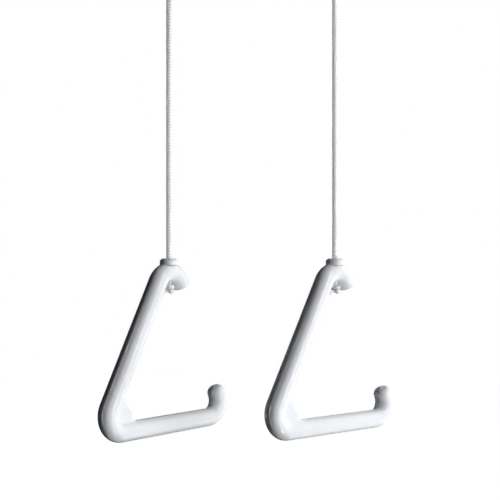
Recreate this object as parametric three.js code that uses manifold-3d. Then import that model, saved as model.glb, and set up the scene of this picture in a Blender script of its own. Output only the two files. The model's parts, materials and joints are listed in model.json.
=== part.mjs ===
// Shoulder pulley: two open triangular handles on one braided rope, which runs over two sheaves
// in a head that hangs on the top of a door. Millimetres, +Z up.
// X runs along the head, from the left handle to the right one, and +Y points into the door.
// The origin is on the underside of the top pad, where the head rests on the door's top edge.
import * as THREE from "three";
import { mergeVertices } from "three/addons/utils/BufferGeometryUtils.js";
import Module from "manifold-3d";

// ---- Driving dimensions -------------------------------------------------------------------

const GAP = 0.3; // between pieces that touch or seat on each other

// Rope
const ROPE_DIAMETER = 4.8;
const ROPE_SPACING = 141; // between the two hanging runs
const ROPE_DROP = 256; // from the sheaves' centres down to the handles' datum
const ROPE_SIDES = 10;
const ROPE_STEP = 12; // length of one section of a run

// Handle: a round bar bent into a triangle that stays open on one side
const BAR_DIAMETER = 16;
const HANDLE_PEAK = 8; // height of the sharp corner of the bar's centreline over the datum
const HANDLE_HEIGHT = 145.7; // from that sharp corner down to the grip's centreline
const HALF_ANGLE = 27.4; // between the rope and each side, degrees
const PEAK_INSIDE = 6.2; // inside radii of the bends
const CORNER_INSIDE = 6.6;
const TOE_INSIDE = 5.6;
const HOOK_LENGTH = 5.6; // straight stub past the bend at the peak
const TOE_LENGTH = 7.8; // straight stub past the bend at the open end of the grip
const HOOK_ROUNDING = 2.5; // edge rounding of the hook's end
const TOE_ROUNDING = 6; // edge rounding of the toe's end
const HANDLE_LEAN = 1.6; // the triangle is set over by this angle, degrees
const RIB_REACH = 24; // corner rib: how far it runs along the inside of each side
const RIB_THICKNESS = 6;
const LEFT_TURN = 51.3; // how far each handle hangs turned about its rope, degrees
const RIGHT_TURN = 40.7;
const BAR_SIDES = 20;
const BEND_STEPS = 4; // half of the steps in one bend

// Collar that guides the rope into the handle's peak
const COLLAR_DIAMETER = 15.6;
const COLLAR_TOP = 3; // height over the datum
const COLLAR_HEIGHT = 5.9;
const COLLAR_CHAMFER = 2.1;
const CHAMFER_HEIGHT = 1.8;
const SPIGOT_DIAMETER = 9.6;
const SPIGOT_LENGTH = 6;
const ROPE_CLEARANCE = 0.5; // around the rope in the collar and in the handle

// Stopper knot
const KNOT_WRAP = 2.3; // thickness of its turns round the rope
const KNOT_LENGTH = 9;

// Sheave
const PITCH_RADIUS = 20; // of the rope's centreline
const RIM_HEIGHT = 3.5; // of the rim over the pitch circle
const SHEAVE_WIDTH = 12;
const RIM_GROOVE = 8.4; // groove's width at the rim
const HUB_WALL = 3.7; // round the bush
const RIM_DEPTH = 5.5; // from the pitch circle in to the recess
const RECESS_DEPTH = 2.4;
const BUSH_WALL = 1.7;
const THRUST_WASHER_BROW = 2.5; // how far it reaches past the bush
const WASHER_THICKNESS = 1;

// Axle bolt and its cap nut
const AXLE_DIAMETER = 6;
const BOLT_HEAD_BROW = 2.4; // how far the head reaches past the shank
const BOLT_HEAD_HEIGHT = 3;
const NUT_FLAT_WALL = 2; // from the shank's surface to a flat
const NUT_HEIGHT = 5;
const NUT_DOME_WALL = 1.1; // round the hole
const NUT_BORE_END = 1.6; // how far the hole runs on into the dome

// Cheeks, distance sleeves and rivets
const CHEEK_MARGIN = 2.5; // of the cheeks round the rims
const CHEEK_THICKNESS = 2.5;
const RIVET_DIAMETER = 4;
const RIVET_HEAD_BROW = 1.6; // how far a head reaches past the shank
const RIVET_HEAD_HEIGHT = 1.4;
const SLEEVE_DIAMETER = 9;
const SLEEVE_CLEARANCE = 1.5; // between the lower sleeves and the rims
const LOWER_RIVET_Z = -12; // from the sheaves' centres

// Door bracket and pads
const HEAD_DROP = 38; // sheaves' centres below the door's top
const STEEL = 3;
const STRAP_WIDTH = 90;
const BEND_RADIUS = 3; // inside of the strap's bends
const LIP_LENGTH = 42; // how far the rear lip reaches below the door's top
const LIP_ROUNDING = 10;
const DOOR_GAP = 42;
const FRONT_PAD = 6; // thickness, as for the other pads
const FRONT_PAD_WIDTH = 12;
const FRONT_PAD_HEIGHT = 40;
const FRONT_PAD_OFFSET = 14; // outwards from the lower rivets
const REAR_PAD = 3;
const REAR_PAD_WIDTH = 70;
const REAR_PAD_HEIGHT = 28;
const REAR_PAD_MARGIN = 5; // from the lip's edge
const TOP_PAD = 2;
const TOP_PAD_WIDTH = 70;
const TOP_PAD_DEPTH = 34;
const PAD_ROUNDING = 3;

const ROUND = 24; // sides of a turned piece
const SMALL_ROUND = 14; // the same, on small pieces

// ---- Sizes that follow --------------------------------------------------------------------

const ropeRadius = ROPE_DIAMETER / 2;
const ropeX = ROPE_SPACING / 2;
const sheaveX = ropeX - PITCH_RADIUS;
const sheaveZ = -HEAD_DROP;
const datumZ = sheaveZ - ROPE_DROP;
const barRadius = BAR_DIAMETER / 2;
const knotRadius = ropeRadius + KNOT_WRAP;
const rimRadius = PITCH_RADIUS + RIM_HEIGHT;
const cheekRadius = rimRadius + CHEEK_MARGIN;
const axleRadius = AXLE_DIAMETER / 2;
const axleHole = axleRadius + GAP;
const bushRadius = axleHole + BUSH_WALL;
const washerY = SHEAVE_WIDTH / 2 + GAP;
const cheekY = washerY + WASHER_THICKNESS + GAP; // inner face of each cheek
const cheekBack = cheekY + STEEL; // the bracket is the rear cheek
const cheekFront = cheekY + CHEEK_THICKNESS;
const doorFrontY = cheekBack + GAP + FRONT_PAD;
const doorMiddleY = doorFrontY + DOOR_GAP / 2;
const doorBackY = doorFrontY + DOOR_GAP;
const lipY = doorBackY + REAR_PAD + GAP;
const strapZ = TOP_PAD + GAP; // underside of the strap over the door
const halfAngle = THREE.MathUtils.degToRad(HALF_ANGLE);
const collarRadius = COLLAR_DIAMETER / 2;
const ropeHole = ropeRadius + ROPE_CLEARANCE;
const seatZ = COLLAR_TOP - COLLAR_HEIGHT; // underside of the collar's flange
const spigotEnd = seatZ - SPIGOT_LENGTH;
// Bends of the bar's centreline.
const peakRadius = PEAK_INSIDE + barRadius;
const cornerRadius = CORNER_INSIDE + barRadius;
const toeRadius = TOE_INSIDE + barRadius;
const peakCentreZ = HANDLE_PEAK - peakRadius / Math.sin(halfAngle);
// The knot pulls up against the peak's inside, where the rope hole leaves it.
const holeEdgeZ = peakCentreZ + Math.sqrt(PEAK_INSIDE ** 2 - ropeHole ** 2);
const knotTop = holeEdgeZ + GAP / 2;
const lowerRivetX = sheaveX - rimRadius - SLEEVE_CLEARANCE - SLEEVE_DIAMETER / 2;
const rivets = [
  { name: "lower_left", x: -lowerRivetX, z: LOWER_RIVET_Z },
  { name: "lower_right", x: lowerRivetX, z: LOWER_RIVET_Z },
  { name: "upper", x: 0, z: PITCH_RADIUS / 2 },
];
const sides = [
  { name: "left", sign: -1, turn: LEFT_TURN },
  { name: "right", sign: 1, turn: RIGHT_TURN },
];

// ---- Materials ----------------------------------------------------------------------------

const plain = (color, roughness, metalness) =>
  new THREE.MeshStandardMaterial({ color, roughness, metalness });
const whitePlastic = plain(0xf1f2f2, 0.22, 0);
const ropeWhite = plain(0xe9e9e6, 0.85, 0);
const powderCoat = plain(0xe6e7e8, 0.45, 0);
const greyNylon = plain(0xb9bcbf, 0.4, 0);
const plated = plain(0xc4c6c8, 0.3, 1);
const brass = plain(0xb8934a, 0.35, 1);
const rubber = plain(0x3a3c3e, 0.9, 0);

// ---- Tools --------------------------------------------------------------------------------

const wasm = await Module();
wasm.setup();

// A geometry as a solid that can be joined and cut.
function solid(geometry) {
  const bare = geometry.index ? geometry.toNonIndexed() : geometry.clone();
  bare.deleteAttribute("normal");
  bare.deleteAttribute("uv");
  const merged = mergeVertices(bare, 1e-4);
  return new wasm.Manifold(
    new wasm.Mesh({
      numProp: 3,
      vertProperties: merged.attributes.position.array,
      triVerts: new Uint32Array(merged.index.array),
    }),
  );
}

function geometryOf(body) {
  const mesh = body.getMesh();
  const geometry = new THREE.BufferGeometry();
  geometry.setAttribute("position", new THREE.BufferAttribute(mesh.vertProperties, 3));
  geometry.setIndex(new THREE.BufferAttribute(mesh.triVerts, 1));
  return geometry.toNonIndexed();
}

const cut = (body, ...tools) =>
  geometryOf(tools.reduce((left, tool) => left.subtract(solid(tool)), solid(body)));

function add(group, name, geometry, material, x = 0, y = 0, z = 0) {
  geometry.computeVertexNormals();
  const mesh = new THREE.Mesh(geometry, material);
  mesh.name = name;
  mesh.position.set(x, y, z);
  group.add(mesh);
}

// A solid cylinder along Y from one height to another.
function rod(radius, y0, y1, x = 0, z = 0, segments = SMALL_ROUND) {
  const geometry = new THREE.CylinderGeometry(radius, radius, Math.abs(y1 - y0), segments);
  return geometry.translate(x, (y0 + y1) / 2, z);
}

// A closed profile of [radius, height] points, turned about Y.
const turnedY = (profile, segments = SMALL_ROUND) =>
  new THREE.LatheGeometry(profile.map(([r, y]) => new THREE.Vector2(r, y)), segments);

// The same, turned about Z.
const turnedZ = (profile) => turnedY(profile, ROUND).rotateX(Math.PI / 2);

// A polyline in a plane whose inner corners are rounded, as a path of lines and arcs.
function roundedPath(points, radii) {
  const path = new THREE.Path();
  path.moveTo(points[0].x, points[0].y);
  for (let i = 1; i < points.length - 1; i++) {
    const back = points[i - 1].clone().sub(points[i]).normalize();
    const ahead = points[i + 1].clone().sub(points[i]).normalize();
    const half = Math.acos(THREE.MathUtils.clamp(back.dot(ahead), -1, 1)) / 2;
    const radius = radii[i - 1];
    const centre = back.clone().add(ahead).normalize();
    centre.multiplyScalar(radius / Math.sin(half)).add(points[i]);
    const start = back.multiplyScalar(radius / Math.tan(half)).add(points[i]);
    const end = ahead.multiplyScalar(radius / Math.tan(half)).add(points[i]);
    const from = Math.atan2(start.y - centre.y, start.x - centre.x);
    const to = Math.atan2(end.y - centre.y, end.x - centre.x);
    const turn = start.clone().sub(centre).cross(end.clone().sub(centre));
    path.lineTo(start.x, start.y);
    path.absarc(centre.x, centre.y, radius, from, to, turn < 0);
  }
  const last = points[points.length - 1];
  path.lineTo(last.x, last.y);
  return path;
}

// A flat plate of the given outline in X and Z, from one Y to another.
function plate(shape, y0, y1, curveSegments = 12) {
  const geometry = new THREE.ExtrudeGeometry(shape, {
    depth: Math.abs(y1 - y0),
    bevelEnabled: false,
    curveSegments,
  });
  return geometry.rotateX(Math.PI / 2).translate(0, Math.max(y0, y1), 0);
}

// A box with rounded corners in X and Z.
function roundedPlate(width, height, rounding, y0, y1) {
  const shape = new THREE.Shape();
  const [w, h] = [width / 2 - rounding, height / 2 - rounding];
  shape.absarc(w, h, rounding, 0, Math.PI / 2);
  shape.absarc(-w, h, rounding, Math.PI / 2, Math.PI);
  shape.absarc(-w, -h, rounding, Math.PI, 1.5 * Math.PI);
  shape.absarc(w, -h, rounding, 1.5 * Math.PI, 2 * Math.PI);
  return plate(shape, y0, y1, 4);
}

// ---- Handle -------------------------------------------------------------------------------

// The centreline in the handle's own plane: hook, peak, side, corner, grip, toe.
function handleCentreline() {
  const gripZ = HANDLE_PEAK - HANDLE_HEIGHT;
  const cornerX = HANDLE_HEIGHT * Math.tan(halfAngle);
  const peak = new THREE.Vector2(0, HANDLE_PEAK);
  const corner = new THREE.Vector2(-cornerX, gripZ);
  const toe = new THREE.Vector2(cornerX, gripZ);
  const down = toe.clone().sub(peak).normalize();
  const toeHalf = (Math.PI / 2 - halfAngle) / 2;
  const hookLength = peakRadius / Math.tan(halfAngle) + HOOK_LENGTH;
  const toeLength = toeRadius / Math.tan(toeHalf) + TOE_LENGTH;
  const hookEnd = peak.clone().addScaledVector(down, hookLength);
  const toeEnd = toe.clone().addScaledVector(down, -toeLength);
  const path = roundedPath(
    [hookEnd, peak, corner, toe, toeEnd],
    [peakRadius, cornerRadius, toeRadius],
  );
  return { path, corner, peak, toe };
}

// The stations of an end: flat, with its edge rounded, so the radius falls along a quarter circle.
function endStations(end, next, rounding) {
  const direction = next.clone().sub(end).normalize();
  const start = end.clone().addScaledVector(direction, rounding);
  const angles = [0, Math.PI / 8, Math.PI / 4, (3 * Math.PI) / 8, Math.PI / 2];
  return angles.map((angle) => ({
    centre: start.clone().addScaledVector(direction, -rounding * Math.sin(angle)),
    direction,
    radius: barRadius - rounding * (1 - Math.cos(angle)),
  }));
}

// Stations along the bar, each with its centre, direction and radius.
function barStations(path) {
  const apart = (point, i, all) => !i || point.distanceTo(all[i - 1]) > 1e-6;
  const points = path.getPoints(BEND_STEPS).filter(apart);
  const last = points.length - 1;
  const stations = endStations(points[0], points[1], HOOK_ROUNDING).reverse();
  for (let i = 1; i < last; i++) {
    const before = points[i].clone().sub(points[i - 1]).normalize();
    const after = points[i + 1].clone().sub(points[i]).normalize();
    stations.push({
      centre: points[i],
      direction: before.add(after).normalize(),
      radius: barRadius,
    });
  }
  const final = endStations(points[last], points[last - 1], TOE_ROUNDING);
  for (const station of final) station.direction = station.direction.clone().negate();
  return [...stations, ...final];
}

// The bar's skin: a ring of points round each station, closed by a point at each end.
function barGeometry(stations) {
  const positions = [];
  const first = stations[0].centre;
  const last = stations[stations.length - 1].centre;
  for (const { centre, direction, radius } of stations)
    for (let j = 0; j < BAR_SIDES; j++) {
      const angle = (2 * Math.PI * j) / BAR_SIDES;
      const across = radius * Math.cos(angle);
      const x = centre.x + direction.y * across;
      const z = centre.y - direction.x * across;
      positions.push(x, radius * Math.sin(angle), z);
    }
  const startPole = positions.length / 3;
  positions.push(first.x, 0, first.y, last.x, 0, last.y);
  const faces = [];
  for (let j = 0; j < BAR_SIDES; j++) {
    const next = (j + 1) % BAR_SIDES;
    for (let i = 0; i < stations.length - 1; i++) {
      const [a, b] = [i * BAR_SIDES, (i + 1) * BAR_SIDES];
      faces.push(a + j, b + next, b + j, a + j, a + next, b + next);
    }
    const end = (stations.length - 1) * BAR_SIDES;
    faces.push(startPole, next, j, startPole + 1, end + j, end + next);
  }
  const geometry = new THREE.BufferGeometry();
  geometry.setAttribute("position", new THREE.Float32BufferAttribute(positions, 3));
  geometry.setIndex(faces);
  return geometry;
}

// The rib that fills the inside of the closed corner, as far as RIB_REACH along each side. Its
// other edges lie hidden in the bar.
function ribGeometry({ corner, peak, toe }) {
  const up = peak.clone().sub(corner).normalize();
  const along = toe.clone().sub(corner).normalize();
  const bisector = up.clone().add(along).normalize();
  const half = (Math.PI / 2 - halfAngle) / 2;
  // Where the insides of the two sides would meet if the corner were sharp.
  const inside = corner.clone().addScaledVector(bisector, barRadius / Math.sin(half));
  const lower = inside.clone().addScaledVector(along, RIB_REACH);
  const upper = inside.clone().addScaledVector(up, RIB_REACH);
  const intoGrip = new THREE.Vector2(along.y, -along.x);
  const intoSide = new THREE.Vector2(-up.y, up.x);
  const shape = new THREE.Shape([
    corner.clone().addScaledVector(bisector, barRadius),
    lower.clone().addScaledVector(intoGrip, barRadius / 2),
    lower,
    upper,
    upper.clone().addScaledVector(intoSide, barRadius / 2),
  ]);
  return plate(shape, -RIB_THICKNESS / 2, RIB_THICKNESS / 2);
}

// The whole handle, leaning as it hangs, with the collar's seat and the rope's hole cut upright.
function handleGeometry() {
  const line = handleCentreline();
  const lean = THREE.MathUtils.degToRad(HANDLE_LEAN);
  const bar = solid(barGeometry(barStations(line.path)).rotateY(lean));
  const rib = solid(ribGeometry(line).rotateY(lean));
  const boss = rod(collarRadius, peakCentreZ + peakRadius, seatZ).rotateX(Math.PI / 2);
  const spigotHole = SPIGOT_DIAMETER / 2 + GAP;
  const tools = [
    [collarRadius + GAP, seatZ - GAP, COLLAR_TOP + barRadius],
    [spigotHole, spigotEnd - GAP, seatZ],
    [ropeHole, peakCentreZ, spigotEnd],
  ];
  const upright = tools.map(([radius, low, high]) => rod(radius, low, high).rotateX(Math.PI / 2));
  const body = bar.add(rib).add(solid(boss));
  return geometryOf(upright.reduce((left, tool) => left.subtract(solid(tool)), body));
}

// Flange with a chamfered top, and a spigot that plugs into the handle's peak.
function collarGeometry() {
  const spigotRadius = SPIGOT_DIAMETER / 2;
  return turnedZ([
    [ropeHole, spigotEnd],
    [spigotRadius, spigotEnd],
    [spigotRadius, seatZ],
    [collarRadius, seatZ],
    [collarRadius, COLLAR_TOP - CHAMFER_HEIGHT],
    [collarRadius - COLLAR_CHAMFER, COLLAR_TOP],
    [ropeHole, COLLAR_TOP],
    [ropeHole, spigotEnd],
  ]);
}

// The knot's outer shape, a ball a little longer than it is wide.
function knotGeometry() {
  const middle = knotTop - GAP - KNOT_LENGTH / 2;
  return new THREE.SphereGeometry(1, 16, 12)
    .rotateX(Math.PI / 2)
    .scale(knotRadius, knotRadius, KNOT_LENGTH / 2)
    .translate(0, 0, middle);
}

// ---- Rope ---------------------------------------------------------------------------------

// A rope's stretch along a path in the rope's plane.
function ropeGeometry(path, length) {
  const curve = new THREE.CurvePath();
  for (const part of path.curves) {
    const point = (t) => new THREE.Vector3(part.getPointAt(t).x, 0, part.getPointAt(t).y);
    const flat = new THREE.Curve();
    flat.getPoint = (t, target = new THREE.Vector3()) => target.copy(point(t));
    curve.add(flat);
  }
  const section = new THREE.Shape();
  for (let i = 0; i < ROPE_SIDES; i++) {
    const angle = (2 * Math.PI * i) / ROPE_SIDES;
    const corner = [ropeRadius * Math.cos(angle), ropeRadius * Math.sin(angle)];
    if (i) section.lineTo(...corner);
    else section.moveTo(...corner);
  }
  return new THREE.ExtrudeGeometry(section, {
    steps: Math.ceil(length / ROPE_STEP),
    extrudePath: curve,
  });
}

// A run that hangs from a sheave down to its knot.
function dropGeometry(sign) {
  const low = datumZ + knotTop;
  const path = new THREE.Path().moveTo(sign * ropeX, low).lineTo(sign * ropeX, sheaveZ);
  return ropeGeometry(path, sheaveZ - low);
}

// The stretch that lies on the sheaves: a quarter turn, the level run between them, a quarter turn.
function overGeometry() {
  const start = GAP / PITCH_RADIUS;
  const path = new THREE.Path();
  path.absarc(-sheaveX, sheaveZ, PITCH_RADIUS, Math.PI - start, Math.PI / 2, true);
  path.lineTo(sheaveX, sheaveZ + PITCH_RADIUS);
  path.absarc(sheaveX, sheaveZ, PITCH_RADIUS, Math.PI / 2, start, true);
  return ropeGeometry(path, (Math.PI * PITCH_RADIUS + 2 * sheaveX) * 2);
}

// ---- Head ---------------------------------------------------------------------------------

// A grooved wheel: round-bottomed groove, thick rim and hub, thinner web between them.
function sheaveGeometry() {
  const bore = bushRadius + GAP;
  const hub = bore + HUB_WALL;
  const recess = PITCH_RADIUS - RIM_DEPTH;
  const face = SHEAVE_WIDTH / 2;
  const web = face - RECESS_DEPTH;
  const seat = ropeRadius + GAP;
  const groove = [];
  for (let i = 0; i <= 6; i++) {
    const angle = (i * Math.PI) / 6;
    groove.push([PITCH_RADIUS - seat * Math.sin(angle), -seat * Math.cos(angle)]);
  }
  return turnedY([
    [bore, -face],
    [hub, -face],
    [hub, -web],
    [recess, -web],
    [recess, -face],
    [rimRadius, -face],
    [rimRadius, -RIM_GROOVE / 2],
    ...groove,
    [rimRadius, RIM_GROOVE / 2],
    [rimRadius, face],
    [recess, face],
    [recess, web],
    [hub, web],
    [hub, face],
    [bore, face],
    [bore, -face],
  ], ROUND);
}

// A plain tube along Y.
const sleeve = (inner, outer, y0, y1) =>
  turnedY([
    [inner, y0],
    [outer, y0],
    [outer, y1],
    [inner, y1],
    [inner, y0],
  ]);

// A domed head on a shank: the shank runs forwards from the bracket's rear face.
function boltGeometry() {
  const head = cheekBack + GAP;
  const headRadius = axleRadius + BOLT_HEAD_BROW;
  const tip = -(cheekFront + GAP + NUT_HEIGHT);
  return turnedY([
    [0, tip],
    [axleRadius - GAP, tip],
    [axleRadius, tip + 2 * GAP],
    [axleRadius, head],
    [headRadius, head],
    [headRadius, head + BOLT_HEAD_HEIGHT / 3],
    [headRadius * 0.86, head + BOLT_HEAD_HEIGHT * 0.72],
    [headRadius * 0.5, head + BOLT_HEAD_HEIGHT],
    [0, head + BOLT_HEAD_HEIGHT],
  ]);
}

// A hexagon with a dome over the axle's end.
function capNutGeometry() {
  const seat = -(cheekFront + GAP);
  const top = seat - NUT_HEIGHT;
  const corner = (axleRadius + NUT_FLAT_WALL) / Math.cos(Math.PI / 6);
  const hexagon = rod(corner, top, seat, 0, 0, 6);
  const domeRadius = axleHole + NUT_DOME_WALL;
  const dome = [];
  for (let i = 0; i <= 6; i++) {
    const angle = (i * Math.PI) / 12;
    dome.push([domeRadius * Math.sin(angle), top - domeRadius * Math.cos(angle)]);
  }
  dome.push([domeRadius, seat - NUT_HEIGHT / 2], [0, seat - NUT_HEIGHT / 2]);
  const body = solid(hexagon).add(solid(turnedY(dome)));
  return geometryOf(body.subtract(solid(rod(axleHole, top - NUT_BORE_END, seat + GAP))));
}

// A rivet: its shank and both heads.
function rivetGeometry() {
  const radius = RIVET_DIAMETER / 2;
  const headRadius = radius + RIVET_HEAD_BROW;
  const front = -(cheekFront + GAP);
  const back = cheekBack + GAP;
  const brow = RIVET_HEAD_HEIGHT / 2;
  return turnedY([
    [0, front - RIVET_HEAD_HEIGHT],
    [headRadius / 2, front - RIVET_HEAD_HEIGHT],
    [headRadius, front - brow],
    [headRadius, front],
    [radius, front],
    [radius, back],
    [headRadius, back],
    [headRadius, back + brow],
    [headRadius / 2, back + RIVET_HEAD_HEIGHT],
    [0, back + RIVET_HEAD_HEIGHT],
  ]);
}

// Outline round both sheaves: a slot with half-round ends.
function cheekShape() {
  const shape = new THREE.Shape();
  shape.absarc(sheaveX, 0, cheekRadius, -Math.PI / 2, Math.PI / 2);
  shape.absarc(-sheaveX, 0, cheekRadius, Math.PI / 2, 1.5 * Math.PI);
  return shape;
}

// Holes for both axles and all the rivets, through any cheek.
function cheekHoles() {
  const reach = cheekBack + STEEL;
  const axles = sides.map(({ sign }) => rod(axleHole, -reach, reach, sign * sheaveX));
  const pins = rivets.map(({ x, z }) => rod(RIVET_DIAMETER / 2 + GAP, -reach, reach, x, z));
  return [...axles, ...pins];
}

// The strip that goes up from the rear cheek, over the door and down behind it.
function strapGeometry() {
  const side = (offset, radius) => {
    const front = cheekBack - offset;
    const over = strapZ + offset - sheaveZ;
    const rear = lipY + offset;
    const points = [
      [front, 0],
      [front, over],
      [rear, over],
      [rear, -LIP_LENGTH - sheaveZ],
    ].map(([y, z]) => new THREE.Vector2(y, z));
    return roundedPath(points, [radius, radius]).getPoints(4);
  };
  const outer = side(STEEL, BEND_RADIUS + STEEL);
  const inner = side(0, BEND_RADIUS);
  const profile = new THREE.Shape([...outer, ...inner.reverse()]);
  const strip = new THREE.ExtrudeGeometry(profile, { depth: STRAP_WIDTH, bevelEnabled: false });
  // The profile is drawn in Y and Z, so turn the extrusion to run along X.
  const axes = [new THREE.Vector3(0, 1, 0), new THREE.Vector3(0, 0, 1), new THREE.Vector3(1, 0, 0)];
  strip.applyMatrix4(new THREE.Matrix4().makeBasis(...axes));
  return strip.translate(-STRAP_WIDTH / 2, 0, 0);
}

// Bracket: the strap, with its lip's corners rounded, and the rear cheek, with its holes.
function bracketGeometry() {
  const strap = solid(strapGeometry());
  const cheek = solid(plate(cheekShape(), cheekY, cheekBack));
  const height = 2 * (strapZ + STEEL + LIP_LENGTH);
  const behind = roundedPlate(STRAP_WIDTH, height, LIP_ROUNDING, cheekBack + GAP, lipY + 2 * STEEL);
  behind.translate(0, 0, height / 2 - LIP_LENGTH - sheaveZ);
  const ahead = new THREE.BoxGeometry(STRAP_WIDTH, STEEL + 2 * GAP, height);
  ahead.translate(0, cheekBack + GAP - ahead.parameters.height / 2, height / 2);
  const trimmed = strap.intersect(solid(behind).add(solid(ahead)));
  const tools = cheekHoles().map(solid);
  return geometryOf(tools.reduce((body, tool) => body.subtract(tool), trimmed.add(cheek)));
}

// ---- Assembly -----------------------------------------------------------------------------

const shoulderPulley = new THREE.Group();
const onRopePlane = new THREE.Group(); // Y = 0 here is the plane that the rope runs in
onRopePlane.position.y = -doorMiddleY;
shoulderPulley.add(onRopePlane);

const head = new THREE.Group(); // centred between the sheaves
head.position.z = sheaveZ;
onRopePlane.add(head);

add(head, "door_bracket", bracketGeometry(), powderCoat);
add(head, "front_cheek", cut(plate(cheekShape(), -cheekFront, -cheekY), ...cheekHoles()), powderCoat);

for (const { name, sign } of sides) {
  const x = sign * sheaveX;
  const face = SHEAVE_WIDTH / 2;
  const washerRadius = bushRadius + THRUST_WASHER_BROW;
  const washer = (y) => sleeve(axleHole, washerRadius, y, y + WASHER_THICKNESS);
  add(head, "sheave_" + name, sheaveGeometry(), greyNylon, x);
  add(head, "bush_" + name, sleeve(axleHole, bushRadius, -face, face), brass, x);
  add(head, "thrust_washer_front_" + name, washer(-washerY - WASHER_THICKNESS), greyNylon, x);
  add(head, "thrust_washer_rear_" + name, washer(washerY), greyNylon, x);
  add(head, "axle_bolt_" + name, boltGeometry(), plated, x);
  add(head, "cap_nut_" + name, capNutGeometry(), plated, x);
}

for (const { name, x, z } of rivets) {
  const length = cheekY - GAP;
  const tube = sleeve(RIVET_DIAMETER / 2 + GAP, SLEEVE_DIAMETER / 2, -length, length);
  add(head, "distance_sleeve_" + name, tube, plated, x, 0, z);
  add(head, "rivet_" + name, rivetGeometry(), plated, x, 0, z);
}

for (const { name, sign } of sides) {
  const back = cheekBack + GAP;
  const pad = roundedPlate(FRONT_PAD_WIDTH, FRONT_PAD_HEIGHT, PAD_ROUNDING, back, doorFrontY);
  add(head, "front_pad_" + name, pad, rubber, sign * (lowerRivetX + FRONT_PAD_OFFSET));
}
const topPad = roundedPlate(TOP_PAD_WIDTH, TOP_PAD_DEPTH, PAD_ROUNDING, 0, TOP_PAD);
add(onRopePlane, "top_pad", topPad.rotateX(Math.PI / 2), rubber, 0, doorMiddleY, 0);
const rearPad = roundedPlate(
  REAR_PAD_WIDTH,
  REAR_PAD_HEIGHT,
  PAD_ROUNDING,
  doorBackY,
  doorBackY + REAR_PAD,
);
const rearPadZ = REAR_PAD_MARGIN + REAR_PAD_HEIGHT / 2 - LIP_LENGTH;
add(onRopePlane, "rear_pad", rearPad, rubber, 0, 0, rearPadZ);

add(onRopePlane, "rope_over_sheaves", overGeometry(), ropeWhite);
for (const { name, sign, turn } of sides) {
  add(onRopePlane, "rope_drop_" + name, dropGeometry(sign), ropeWhite);
  const hanging = new THREE.Group();
  hanging.position.set(sign * ropeX, 0, datumZ);
  hanging.rotation.z = THREE.MathUtils.degToRad(turn);
  onRopePlane.add(hanging);
  add(hanging, "stopper_knot_" + name, knotGeometry(), ropeWhite);
  add(hanging, "collar_" + name, collarGeometry(), whitePlastic);
  add(hanging, "handle_" + name, handleGeometry(), whitePlastic);
}

export default shoulderPulley;
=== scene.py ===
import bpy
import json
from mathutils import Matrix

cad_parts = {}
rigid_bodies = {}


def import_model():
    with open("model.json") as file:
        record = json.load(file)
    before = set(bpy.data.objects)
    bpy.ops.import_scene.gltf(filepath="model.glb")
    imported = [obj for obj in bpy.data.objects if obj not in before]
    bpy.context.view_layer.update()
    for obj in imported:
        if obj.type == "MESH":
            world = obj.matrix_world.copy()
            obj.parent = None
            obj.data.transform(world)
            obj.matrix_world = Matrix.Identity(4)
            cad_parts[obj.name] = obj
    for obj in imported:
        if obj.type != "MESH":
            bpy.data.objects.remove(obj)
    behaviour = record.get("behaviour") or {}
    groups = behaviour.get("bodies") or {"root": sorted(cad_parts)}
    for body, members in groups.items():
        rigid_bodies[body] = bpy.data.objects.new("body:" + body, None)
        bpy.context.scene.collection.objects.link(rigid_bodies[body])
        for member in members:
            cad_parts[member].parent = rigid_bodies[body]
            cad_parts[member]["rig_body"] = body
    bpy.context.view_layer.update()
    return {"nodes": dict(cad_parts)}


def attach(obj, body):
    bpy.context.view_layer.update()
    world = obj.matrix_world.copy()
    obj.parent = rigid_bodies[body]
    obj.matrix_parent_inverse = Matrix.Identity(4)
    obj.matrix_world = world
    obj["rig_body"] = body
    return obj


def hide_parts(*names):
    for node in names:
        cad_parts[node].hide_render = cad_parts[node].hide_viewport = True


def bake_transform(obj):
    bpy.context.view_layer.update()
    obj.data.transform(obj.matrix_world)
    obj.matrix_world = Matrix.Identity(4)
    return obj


bl_info = {
    "name": "Shoulder Pulley",
    "version": (1, 0, 0),
    "blender": (4, 5, 0),
    "location": "View3D > Sidebar > Pulley",
    "description": "An over-door shoulder pulley: two open triangular handles on one braided rope",
    "category": "Add Mesh",
}

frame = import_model()

import json
import math
from types import SimpleNamespace

import bpy
import numpy as np
from bpy.props import FloatProperty, FloatVectorProperty, IntProperty, PointerProperty
from mathutils import Vector

MM = 0.001  # the scene is in metres, and sizes are in millimetres unless a comment says otherwise
GAP = 0.3  # between pieces that seat on each other
ROPE_PLAY = 0.5  # round the rope in the collar and in the handle
SIDES = (("left", -1), ("right", 1))


# ---- Settings: the sizes and colours that a user would change ----------------------------------


def length(name, description, millimetres):
    """A length property, held in metres, whose default is given in millimetres."""
    return FloatProperty(
        name=name, description=description, default=millimetres * MM, unit="LENGTH", precision=5
    )


def degrees(name, description, value):
    """An angle property whose default is given in degrees."""
    return FloatProperty(
        name=name, description=description, default=math.radians(value), subtype="ANGLE"
    )


def colour(name, description, value):
    """A linear colour property."""
    return FloatVectorProperty(
        name=name, description=description, default=value, subtype="COLOR", size=3, min=0, max=1
    )


class PulleyRope(bpy.types.PropertyGroup):
    """The braided rope and its stopper knots."""

    diameter: length("Diameter", "Across the rope's braid", 4.8)
    spacing: length("Spacing", "Between the two hanging runs", 141)
    drop: length("Drop", "From the sheaves' centres to the handles' datum", 256)
    carriers: IntProperty(
        name="Strands", description="Strands of the braid that turn each way", default=4, min=4
    )
    pick: length("Pick", "Along the rope from one stitch of the braid to the next", 2.55)
    knot_top: length("Knot Top", "Top of the stopper knot under the datum", 17.2)
    knot_strand: length("Knot Strand", "Across the pulled-tight rope in the knot", 3.7)
    tint: colour("Colour", "Of the bleached polyester yarn", (0.96, 0.96, 0.96))


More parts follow.
